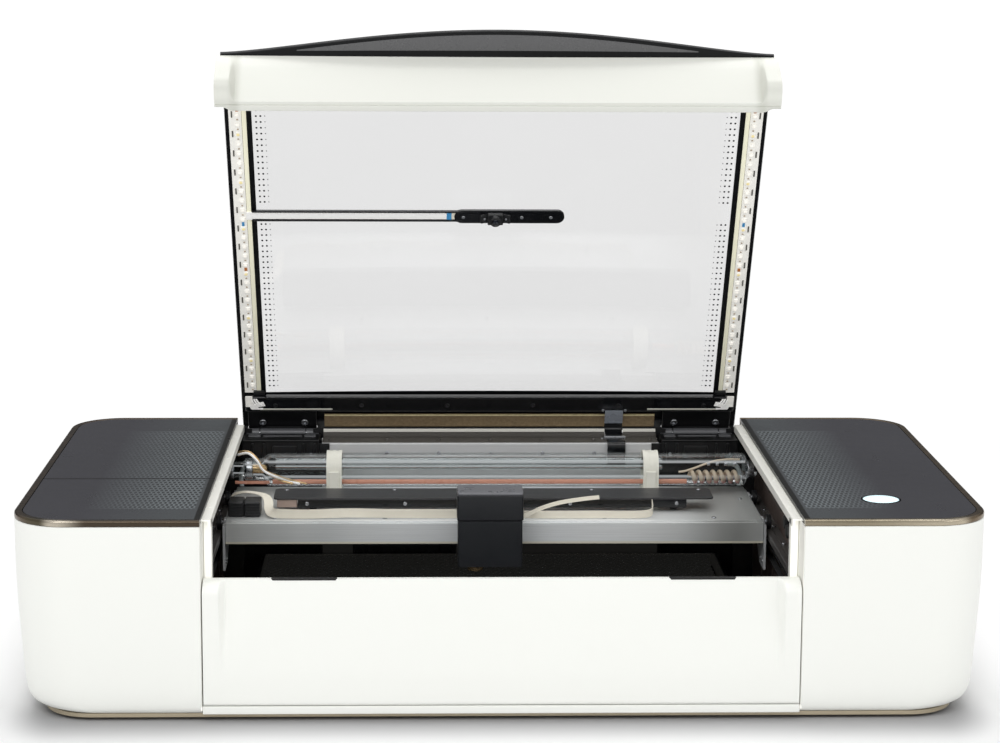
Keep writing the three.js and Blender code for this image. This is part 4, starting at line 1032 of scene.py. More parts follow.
for side, mir in (("right", False), ("left", True)):
    p = Part()
    p.rbox(198, 287, 206, 243, 184, 187.6, 1.0, 2)
    p.rbox(198, 287, 206, 209, 160, 187, 0.9, 2)
    p.rbox(198, 287, 240, 243, 160, 187, 0.9, 2)
    p.rbox(198, 202, 206.5, 242.5, 160, 187, 0.9, 2)
    p.rbox(283, 287, 206.5, 242.5, 160, 187, 0.9, 2)
    p.rbox(286.5, 296.2, 240, 243, 150, 187, 0.6, 2)
    p.rbox(194.6, 202.4, 251.2, 252.7, 150, 193.8, 0.5, 2)
    p.rbox(283.8, 295.2, 251.2, 252.7, 150, 193.8, 0.5, 2)
    p.rbox(202.2, 207.0, 251.3, 252.6, 150, 191.9, 0.3, 2)
    p.rbox(278.4, 284.0, 251.3, 252.6, 150, 191.9, 0.3, 2)
    for x in (203, 216, 262, 275):
        p.rbox(x - 1.4, x + 1.4, 203.9, 206.8, 162, 184, 0.7, 2)
    p.rbox(224, 252, 203.6, 206.6, 166, 181, 1.2, 2)
    for a0, a1 in ((200.4, 215.0), (270.0, 284.4)):
        prof = [(241, 170.5), (256.7 + 5.2, 180.5)] + arc(256.7, 186.1, 5.4, 14, -45, 170) + [(246, 187.6), (241, 187.6)]
        p.prism([(241, 170)] + [(q[0], q[1]) for q in prof[1:]], "x", a0, a1, 2)
    p.lathe([(0, 201.4), (2.3, 201.4), (2.5, 201.8), (2.5, 283.2), (2.3, 283.6), (0, 283.6)], "x", (256.7, 186.1), 24, 1)
    for a0, a1 in ((203, 216), (267, 281)):
        p.rbox(a0, a1, 224, 236, 187.2, 189.0, 0.6, 2, 2)
    p.rbox(219, 264, 227, 230, 187.2, 188.6, 0.5, 2, 2)
    for x in (208, 244, 278):
        p.screw((x, 206.2, 171), (0, -1, 0), 2.0, 1.2, 1)
    p.make(side + "_hinge_block", "case", [HINGE, STEEL, HINGEG], "black_plastic", mirror=mir, bevel=0.0, sharp=35, replaces=(side + "_hinge_bracket",))
    p = Part()
    p.rbox(203, 283, 229, 262, 192.4, 197.4, 1.0, 3)
    # the barrel in the lighter grey, a painted highlight along it
    p.lathe([(2.9, 216.0), (5.0, 216.0), (5.4, 216.4), (5.4, 268.6), (5.0, 269.0), (2.9, 269.0)], "x", (256.7, 186.1), 40, 2, closed=True)
    p.prism([(252.6, 189.8), (261, 189.4), (262, 193), (252, 193)], "x", 216.4, 268.6)
    for x in (217, 266):
        p.screw((x, 245.2, 192.5), (0, 0, -1), 4.2, 2.0, 1)
    p.make(side + "_hinge_plate", "lid", [HINGE, STEEL, HINGEG], "black_plastic", lid=True, mirror=mir, sharp=35, replaces=(side + "_hinge_leaf",))

# ---------------------------------------------------------------- inside the pods
p = Part()
p.rbox(-448, -338, -120, 110, 12, 76, 1.2, 2)
for i in range(14):
    for k_ in range(3):
        p.rbox(-440 + k_ * 34, -414 + k_ * 34, -108 + i * 15, -104 + i * 15, 75.6, 76.6, 0.3, 1, 1)
p.rbox(-448, -338, -128, -119, 12, 40, 1.0, 2, 1)
for i in range(8):
    p.rbox(-444 + i * 13, -435 + i * 13, -129, -122, 30, 42, 0.6, 2, 2)
    p.screw((-439.5 + i * 13, -125, 41.8), (0, 0, 1), 2.2, 1.0, 2)
p.make("power_supply_box", "case", [ALUY, BLACK, STEEL], "sheet_metal", replaces=("power_supply",))
p = Part()
p.prism(rrect(326, 452, -110, 60, 3, 3), "z", 34, 36)
for x0, x1, y0, y1, h in ((340, 380, -60, -20, 44), (400, 440, -20, 30, 41), (334, 352, 10, 40, 42), (392, 404, -90, -60, 46), (420, 446, -98, -70, 40)):
    p.rbox(x0, x1, y0, y1, 35.9, h, 0.5, 2, 1)
for i in range(14):
    p.rbox(333 + i * 8.2, 337 + i * 8.2, 48, 56, 35.9, 42, 0.3, 1, 2)
    p.lathe([(0, 36), (2.8, 36), (3, 36.4), (3, 43.5), (2.6, 44), (0, 44)], "z", (340 + i * 7.6, -100), 20, 1)
for x, y in ((333, -102), (445, -102), (333, 52), (445, 52)):
    p.lathe([(0, 12), (3, 12), (3, 34.5), (0, 34.5)], "z", (x, y), 16, 2)
p.make("main_board", "case", [PCB, CHIP, STEEL], "circuit_board", sharp=35, replaces=("control_board",))
p = Part()
p.prism(rrect(336, 436, 96, 216, 14, 8), "z", 12, 122)
p.lathe([(0, 121), (15, 121), (15, 124), (17, 124), (17, 132), (15.8, 134), (0, 134)], "z", (360, 120), 40, 1)
p.prism(rrect(334.5, 437.5, 94.5, 217.5, 15, 8), "z", 60, 64)
p.tube(spline([(410, 190, 121), (410, 190, 140), (400, 170, 152), (360, 150, 156), (330, 140, 158)], 8), 4, 14, 2)
p.make("coolant_tank", "case", [TANK, BLACK, COOL], "tank_plastic", bevel=1.4, seg=3, replaces=("coolant_reservoir",))

# ---------------------------------------------------------------- tray and honeycomb
p = Part()
outer_t, inner_t = rrect(-264, 264, -214, 196, 8, 6), rrect(-261, 261, -211, 193, 6, 6)
p.prism(outer_t, "z", 16, 55.6, holes=[inner_t[::-1]])
p.prism(inner_t, "z", 16.4, 18.4)
for y in (-209, 191):
    p.rbox(-262, 262, y - 3, y + 3, 18, 42, 0.6, 2)
for i in range(5):
    p.rbox(-262, 262, -150 + i * 70 - 1, -150 + i * 70 + 1, 18, 41, 0.4, 1)
p.prism(arc(0, -213, 30, 12, 180, 360), "z", 50, 52)
p.make("tray_frame", "tray", BLACK, "black_plastic", bevel=0.5, seg=2, replaces=("crumb_tray",))
p = Part()
cell, wall = 8.2, 0.55
rr = cell / 2 / math.cos(math.pi / 6)
cols, rws = int(516 / cell), int(398 / (rr * 1.5))
hexo = [(math.cos(math.radians(60 * i + 30)), math.sin(math.radians(60 * i + 30))) for i in range(6)]
for j in range(rws):
    for i in range(cols - (j % 2)):
        cx = -258 + cell / 2 + i * cell + (cell / 2 if j % 2 else 0)
        cy = -207 + rr + j * rr * 1.5
        ring_o = [(cx + (rr - 0.02) * a, cy + (rr - 0.02) * b) for a, b in hexo]
        ring_i = [(cx + (rr - wall) * a, cy + (rr - wall) * b) for a, b in hexo]
        vs = [(x, y, 43) for x, y in ring_o] + [(x, y, 43) for x, y in ring_i] + [(x, y, 55.4) for x, y in ring_o] + [(x, y, 55.4) for x, y in ring_i]
        fs = []
        for q in range(6):
            q2 = (q + 1) % 6
            fs += [[q, q2, 6 + q2, 6 + q], [12 + q, 18 + q, 18 + q2, 12 + q2], [6 + q, 6 + q2, 18 + q2, 18 + q], [q, 12 + q, 12 + q2, q2]]
        p.raw(vs, fs)
p.make("honeycomb_cells", "tray", GRID, "grid_metal", sharp=30, weighted=False, replaces=("honeycomb_grid",))
p = Part()
p.prism(rrect(-260.4, 260.4, -210.4, 192.4, 5, 4), "z", 42.6, 56, holes=[rrect(-257.4, 257.4, -207.4, 189.4, 3, 4)[::-1]])
p.make("honeycomb_frame", "tray", FRAMED, "grid_metal", bevel=0.5, seg=2)

# ---------------------------------------------------------------- front door
def end_fade(x):
    return 1 - smooth(272, 279, abs(x))


def door_cheek(z):
    return SCOOP * (1 - math.sqrt(1 - min(1, max(0, (z - DOOR_ROUND_Z) / (JOINT_Z - DOOR_ROUND_Z))) ** 2))


def door_scoop(z):
    return SCOOP * min(1, max(0, (z - SCOOP_Z0) / (JOINT_Z - SCOOP_Z0))) ** 1.35


def door_depth(z, x):
    c = door_cheek(z)
    return c + (max(door_scoop(z), c) - c) * end_fade(x)


def xs_fine(half):
    e = [272 + 7 * i / 10 for i in range(11)]
    mid = [-260 + 520 * i / 26 for i in range(27)]
    out = [half - 0.0, half - 2, half - 5, half - 9]
    return sorted(set([-x for x in out] + [-x for x in e] + mid + e + out))


XS = xs_fine(DOOR_HALF)
DZ = [20 + 2.6 * i for i in range(11)] + [46 + 82 * i / 34 for i in range(1, 35)] + [128 + 11.7 * math.sin(math.radians(a)) for a in (12, 24, 36, 47, 57, 66, 74, 81, 86, 90)]


def door_ring(x, grow=0.0):
    ring = [(x, -237.0, JOINT_Z), (x, -234, JOINT_Z - 0.9), (x, DOOR_IN_Y + 1.2, JOINT_Z - 3.2), (x, DOOR_IN_Y, JOINT_Z - 4.2)]
    ring += [(x, DOOR_IN_Y, 17.2), (x, DOOR_IN_Y - 1.2, 16.0)]
    ring += [(x, DOOR_PIN[0] + 4 * math.cos(math.radians(a)), DOOR_PIN[1] + 4 * math.sin(math.radians(a))) for a in (-90, -105, -120, -135, -150, -165)]
    ring += [(x, -HALF_D + door_depth(z, x), z) for z in DZ]
    return ring


# the door moulding as one closed loft of its front face and its back, with a fitted liner behind
p = Part()
ring0 = [door_ring(x) for x in XS]
p.loft(ring0)
o = p.make("door_moulding", "front_door", WHITE2, "white_shell", bevel=1.1, seg=3, sharp=46, replaces=("front_door",))
p = Part()
p.rbox(-286, 286, DOOR_IN_Y - 0.2, DOOR_IN_Y + 0.9, 24, 128, 0.5, 2)
for x in (-276, -140, 0, 140, 276):
    for z in (32, 120):
        p.screw((x, DOOR_IN_Y + 0.7, z), (0, 1, 0), 2.4, 1.2, 1)
for x in (-210, -70, 70, 210):
    p.rbox(x - 52, x + 52, DOOR_IN_Y + 0.6, DOOR_IN_Y + 1.8, 48, 104, 0.5, 2)
p.make("door_liner", "front_door", [ALU, STEEL], "sheet_metal", sharp=35)
p = Part()
for x0, x1 in ((-228, -162.5), (165, 231.6)):
    p.prism(rrect(x0, x1, -244.2, -237.2, 2.8, 6), "z", 138.4, 140.2)
p.make("door_magnets", "front_door", HINGE, "black_plastic", bevel=0.5, seg=2)
p = Part()
for x in (-285, 285):
    p.lathe([(0, x - 6), (2.2, x - 6), (2.5, x - 5.4), (2.5, x + 5.4), (2.2, x + 6), (0, x + 6)], "x", DOOR_PIN, 20)
p.make("door_pins", "front_door", STEEL, "sheet_metal", sharp=30)

# ---------------------------------------------------------------- lid
def crown(x):
    return CROWN * max(0.0, 1 - (x / LID_HALF) ** 2)


def glass_front(x):
    return -HALF_D - 1.5 - VISOR * max(0.0, 1 - (x / LID_HALF) ** 2) ** 1.55


def bar_top(x):
    return GLASS_Z - 0.3 + crown(x)


def bar_cheek(z):
    return SCOOP * (1 - math.sqrt(1 - min(1, max(0, (BAR_ROUND_Z - z) / (BAR_ROUND_Z - JOINT_Z - BAR_GAP))) ** 2))


def bar_depth(t, x):
    z = bar_top(x) + (JOINT_Z + BAR_GAP - bar_top(x)) * t
    c = bar_cheek(z)
    return c + (max(c, SCOOP * t ** 1.35) - c) * end_fade(x) + 3 * max(0, 1 - (x / LID_HALF) ** 2) * (1 - smooth(0, 0.35, t))


BT = [i / 40 for i in range(41)]
BT = [t for t in BT if t < 0.76] + [0.76 + 0.24 * math.sin(math.radians(a)) for a in (9, 18, 27, 36, 45, 54, 63, 71, 78, 84, 90)]
p = Part()
rings = []
for x in XS:
    inn = -231.4 - 4.6 * smooth(276, 286, abs(x))
    ring = [(x, inn, JOINT_Z + BAR_GAP + 0.8), (x, inn, bar_top(x))]
    ring += [(x, -HALF_D + bar_depth(t, x), bar_top(x) + (JOINT_Z + BAR_GAP - bar_top(x)) * t) for t in BT]
    # a fine groove between the front lip and the inner wall along the bottom
    zb = JOINT_Z + BAR_GAP
    ring += [(x, -240.6, zb), (x, -240.2, zb + 1.1), (x, -239.0, zb + 1.1), (x, -238.6, zb), (x, inn - 0.9, zb)]
    rings.append(ring)
p.loft(rings)
p.make("lid_bar_moulding", "lid", BARW, "white_shell", lid=True, bevel=0.9, seg=3, sharp=46, replaces=("lid_front_bar",))

gx = [LID_HALF * i / 40 for i in range(-40, 41)]
p = Part()
rings = []
for x in gx:
    z = GLASS_Z + crown(x)
    yf = glass_front(x)
    rings.append([(x, yf + 0.7, z), (x, 257.3, z), (x, 258, z + 0.7), (x, 258, z + GLASS_T - 0.7), (x, 257.3, z + GLASS_T), (x, yf + 0.7, z + GLASS_T), (x, yf, z + GLASS_T - 0.7), (x, yf, z + 0.7)])
p.loft(rings)
p.make("lid_pane", "lid", GLASS, "lid_glass", lid=True, sharp=30, replaces=("lid_glass",))


def sheet(p, xs_, y0f, y1f, rows, mat, t=0.18, gap=0.06):
    """A printed coat on the underside of the glass."""
    n = len(xs_)
    R = rows + 1
    lo, hi = [], []
    for i in range(R):
        for x in xs_:
            y = y0f(x) + (y1f(x) - y0f(x)) * i / rows
            z = GLASS_Z + crown(x) - gap
            hi.append((x, y, z))
            lo.append((x, y, z - t))
    fs = []
    m = n * R
    for i in range(R - 1):
        for j in range(n - 1):
            a = i * n + j
            fs.append([a, a + 1, a + n + 1, a + n])
            fs.append([m + a + n, m + a + n + 1, m + a + 1, m + a])
    for j in range(n - 1):
        fs.append([j + 1, j, m + j, m + j + 1])
        b = (R - 1) * n + j
        fs.append([b, b + 1, m + b + 1, m + b])
    for i in range(R - 1):
        a = i * n
        fs.append([a, a + n, m + a + n, m + a])
        b = i * n + n - 1
        fs.append([b + n, b, m + b, m + b + n])
    p.raw(hi + lo, fs, mat)


p = Part()
inx = [x for x in gx if abs(x) < 289.8]
inx = [-289.4] + inx + [289.4]
sheet(p, inx, lambda x: glass_front(x) + 1.0, lambda x: -233.0, 6, 0)
# the visor print below uses the grey, a painted sheen on the black
lensx = [LID_HALF * i / 80 for i in range(-80, 81)]
lensx = [x for x in lensx if glass_front(x) + 3.8 < -269.2]
sheet(p, lensx, lambda x: glass_front(x) + 3.8, lambda x: -268.6, 6, 1, 0.15, 0.30)
rings = []
for x in gx:
    z, yf, T_ = GLASS_Z + crown(x), glass_front(x), GLASS_T
    rings.append([(x, yf + 1.6, z + T_ + 0.22), (x, yf + 0.5, z + T_ + 0.22), (x, yf - 0.22, z + T_ - 0.5), (x, yf - 0.22, z + 0.5), (x, yf + 0.5, z - 0.22), (x, yf + 1.8, z - 0.22),
                  (x, yf + 1.8, z - 0.04), (x, yf + 0.72, z - 0.04), (x, yf - 0.03, z + 0.68), (x, yf - 0.03, z + T_ - 0.68), (x, yf + 0.72, z + T_ + 0.04), (x, yf + 1.6, z + T_ + 0.04)])
p.loft(rings)
sheet(p, inx, lambda x: 204.0, lambda x: 257.0, 4, 0)
for sx in (-1, 1):
    for a, b in ((285.2, 289.4), (260.8, 266.2), (266.2, 285.2)):
        q = sorted([sx * (a + (b - a) * i / 3) for i in range(4)])
        sheet(p, q, lambda x: -233.0, lambda x: 204.0, 10, 0)
p.make("lid_border_print", "lid", [FRIT, FRITG], "black_plastic", lid=True, sharp=30, weighted=False)
# printed dots inside the side borders
p = Part()
for sx in (-1, 1):
    i = 0
    y = -224.0
    while y < 198:
        for col, (ax, r) in enumerate(((256.2, 1.15), (251.4, 1.15), (246.8, 0.6))):
            if abs(y + 55.5) < 12:
                continue
            x = sx * ax
            z = GLASS_Z + crown(x) - 0.06
            p.lathe([(0, z), (r, z), (r, z - 0.15), (0, z - 0.15)], "z", (x, y), 10, 0)
        y += 7.6
        i += 1
p.make("lid_dot_print", "lid", FRIT, "black_plastic", lid=True, sharp=30, weighted=False)

p = Part()
p.rbox(-285.5, 285.5, 205.4, 227.5, 190.2, 197.4, 1.6, 3)
p.rbox(-262, 262, 205, 208, 189.6, 196, 0.8, 2)
for x in (-250, -150, -50, 50, 150, 250):
    p.screw((x, 217, 190.3), (0, 0, -1), 2.6, 1.3, 1)
for sx in (-1, 1):
    p.rbox(*sorted((sx * 184, sx * 268)), 222.2, 224.2, 189.6, 190.6, 0.2, 2, 3)
    p.rbox(*sorted((sx * 283.6, sx * 289.0)), 255.0, 261.4, 195.4, 197.2, 0.4, 2, 1)
p.rbox(-202.4, 202.4, 256.4, 261.4, 195.4, 197.2, 0.4, 2, 1)
for sx in (-1, 1):
    p.rbox(*sorted((sx * 193.9, sx * 202.6)), 246, 257.6, 195.4, GLASS_Z + crown(203) - 0.5, 0.3, 2, 1)
for x in (132.6, 158.4):
    p.screw((x, 225.2, 190.3), (0, 0, -1), 1.8, 0.9, 2)
p.rbox(134.9, 156.1, 225.6, 245.4, 189.7, 190.9, 0.4, 2, 4)
p.make("lid_rear_rail", "lid", [BLACKG, BLACK, STEEL, RAILG, CLIPS], "black_plastic", lid=True, replaces=("lid_rear_bar",))

for side, sx in (("left", -1), ("right", 1)):
    p = Part()
    # circuit board tape, a bare cream edge by the glass and a white outer edge
    p.rbox(*sorted((sx * 271.6, sx * 285.2)), -233.5, 203.5, 196.9, 197.5, 0.15, 1, 0)
    p.rbox(*sorted((sx * 266.4, sx * 271.2)), -233.5, 203.5, 196.3, 197.4, 0.35, 2, 1)
    y, i = -227.0, 0
    while y < 200:
        p.rbox(sx * 276.0 - 2.5, sx * 276.0 + 2.5, y - 2.5, y + 2.5, 195.7, 197.0, 0.35, 2, 0)
        p.lathe([(0, 195.62), (1.7, 195.62), (2.0, 195.8), (0, 195.9)], "z", (sx * 276.0, y), 20, 2 if i % 5 else 3)
        if i % 2 == 1:
            p.rbox(*sorted((sx * 281.0, sx * 282.6)), y - 4.5, y + 3.5, 196.2, 197.0, 0.2, 1, 4)
        p.rbox(sx * 276 - 1.0, sx * 276 + 1.0, y + 5.4, y + 7.2, 196.4, 197.0, 0.15, 1, 6)
        if i in (2, 19):
            p.rbox(sx * 276 - 1.6, sx * 276 + 1.6, y + 4.0, y + 8.4, 196.2, 197.0, 0.2, 1, 5)
        if i == 14:
            p.rbox(sx * 276 - 1.4, sx * 276 + 1.4, y + 3.6, y + 9.0, 196.2, 197.0, 0.2, 1, 7)
        y += 12.7
        i += 1
    p.make(side + "_led_tape", "lid", [PCBW, CREAM, LED, LEDY, GREYR, ORANGE, PCBX, CYAN], "light_strip", lid=True, sharp=35, weighted=False, replaces=(side + "_light_strip",))
    # connector and leads at the rear end of the strip
    p = Part()
    p.rbox(*sorted((sx * 262.5, sx * 275.2)), 199.5, 205.0, 193.6, 197.4, 0.8, 2, 0)
    p.rbox(*sorted((sx * 276.4, sx * 284.6)), 203.4, 219.5, 189.5, 190.5, 0.3, 2, 2)
    for k_ in range(3):
        pts = [(sx * (277.6 - 2.6 * k_), 207.5, 190.4), (sx * (276.4 - 3.0 * k_), 211.0, 189.5), (sx * (274.8 - 3.4 * k_), 214.5, 189.3), (sx * (273.6 - 3.8 * k_), 217.0, 189.5)]
        p.tube(spline(pts, 6), 1.0, 8, 1)
    c, t = math.cos(0.35), math.sin(0.35)
    for cx, cy, hw, hh in ((275.4, 218.6, 4.6, 3.2), (267.6, 215.8, 5.0, 3.0)):
        pl = [(sx * (cx + (a * hw) * c - (b * hh) * t), cy + (a * hw) * t * 0.6 + (b * hh) * c) for a, b in ((-1, -1), (1, -1), (1, 1), (-1, 1))]
        p.prism(pl if sx > 0 else pl[::-1], "z", 189.3, 190.6, 1)
    p.rbox(*sorted((sx * 264.5, sx * 278.0)), 221.4, 223.6, 189.5, 190.5, 0.3, 2, 1)
    p.make(side + "_led_plug", "lid", [BLACK, RIBW, PCBW], "black_plastic", lid=True, sharp=35)

# camera arm: a channel with a white flat cable, the camera board and its lens
p = Part()
p.rbox(-265.6, -34, -62.5, -48.5, 196.2, 197.5, 0.4, 2)
p.rbox(-265.6, -34, -62.5, -60.4, 194, 197.2, 0.6, 2)
p.rbox(-265.6, -34, -50.6, -48.5, 194, 197.2, 0.6, 2)
p.prism(rrect(-44, 77, -63.5, -46.5, 8.4, 10), "z", 194.6, 197.5)
p.prism(rrect(-38, 71, -60.2, -49.8, 5.1, 8), "z", 194.0, 194.8)
for x in (-34, 30, 62):
    p.screw((x, -55, 194.1), (0, 0, -1), 2.0, 1.0, 1)
p.make("camera_arm_channel", "lid", [BLACKG, STEEL], "black_plastic", lid=True, bevel=0.0, sharp=35, replaces=("camera_arm",))
p = Part()
p.rbox(-266, -52, -59.8, -51.2, 195.2, 195.6, 0.12, 1, 0)
p.rbox(-52.5, -47, -60.2, -50.8, 194.9, 195.8, 0.2, 1, 1)
p.rbox(-47.5, -42, -59.8, -51.2, 195.0, 195.6, 0.12, 1, 2)
p.rbox(-272, -265.6, -60.5, -50.5, 194.4, 196.4, 0.4, 2, 0)
p.make("camera_flat_cable", "lid", [RIBW, CYAN, RIBC], "light_strip", lid=True, sharp=35)
p = Part()
p.rbox(-7.5, 9.5, -62, -47.6, 188.7, 194.2, 1.2, 3, 0)
for sg in (-1, 1):
    c_ = 1 + sg * 12
    p.at(Matrix.Translation((c_, -54.8, 192.2)) @ Matrix.Rotation(math.radians(sg * 18), 4, "Y"))
    p.rbox(-4.6, 4.6, -5.6, 5.6, -1.4, 1.6, 0.7, 2, 0)
    p.screw((0, 0, -1.3), (0, 0, -1), 1.5, 0.8, 2)
p.at(None)
p.lathe([(0, 189), (6.4, 189), (6.4, 185.6), (5.9, 184.5), (5.3, 184.2), (4.6, 184.2), (4.3, 184.9), (3.4, 185.6), (0, 185.8)], "z", (1, -54.8), 40, 0)
p.lathe([(0, 184.9), (1.6, 184.95), (2.9, 185.25), (3.3, 185.7), (0, 185.9)], "z", (1, -54.8), 32, 1)
p.make("lid_camera_module", "lid", [BLACK, LENSG, STEEL], "black_plastic", lid=True, sharp=35, replaces=("lid_camera",))

# seal along the rear, with a lighter bead along one edge
p = Part()
rings = []
for i in range(195):
    x = -194 + 2 * i
    ring = []
    for j, (y, h) in enumerate(((236.2, 197.4), (236.0, 196.4), (237.5, 195.2), (240, 194.9), (243, 195.3), (246, 194.9), (249, 195.3), (252, 194.9), (254.6, 195.2), (256, 196.4), (255.8, 197.4))):
        w_ = 0.16 * math.sin(i * 2.1 + j * 1.7) + 0.12 * math.sin(i * 0.9 + j * 4.1)
        ring.append((x, y, h + (w_ if 1 < j < 9 else 0)))
    rings.append(ring)
p.loft(rings)
# the lighter bead stands in for the highlight along the seal's edge: a painted highlight
p.tube([(-193.5, 237.2, 195.4), (0, 237.2, 195.4), (193.5, 237.2, 195.4)], 1.1, 10, 1)
p.make("rear_seal_foam", "lid", [TAN, TANL], "seal_foam", lid=True, sharp=60, weighted=False, replaces=("lid_rear_seal",))

# flat cable from the lid to the case, bending at the hinge
def lid_pt(x, y, z):
    return lid_turn((x, y, z))


cable = [lid_pt(145.5, 226, 194), lid_pt(145.5, 240, 192.4), lid_pt(145.5, 252, 190.2), (145.5, 254.5, 187.8), (145.5, 250.5, 186.6), (145.5, 240, 186.2), (145.5, 222, 185.6), (145.5, 208, 185.4), (145.5, 202.6, 183.0), (145.5, 202.2, 172), (145.5, 202.6, 160)]
p = Part()
p.ribbon(spline(cable, 8), (1, 0, 0), 21, 0.7, 0, lanes=14)
o = p.make("lid_flat_cable", "lid", BLACKG, "black_plastic", sharp=60, weighted=False)
o.parent = None
for k_ in [k for k in o.keys() if k == "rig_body"]:
    del o[k_]
o.matrix_world = Matrix.Identity(4)
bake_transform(o)
p = Part()
p.rbox(133, 158, 229.0, 234.5, 184.0, 187.4, 0.6, 2)
p.screw((131, 231.5, 184), (0, 0, 1), 2.0, 1.2)
p.make("cable_bracket", "case", STEEL, "sheet_metal", sharp=35)

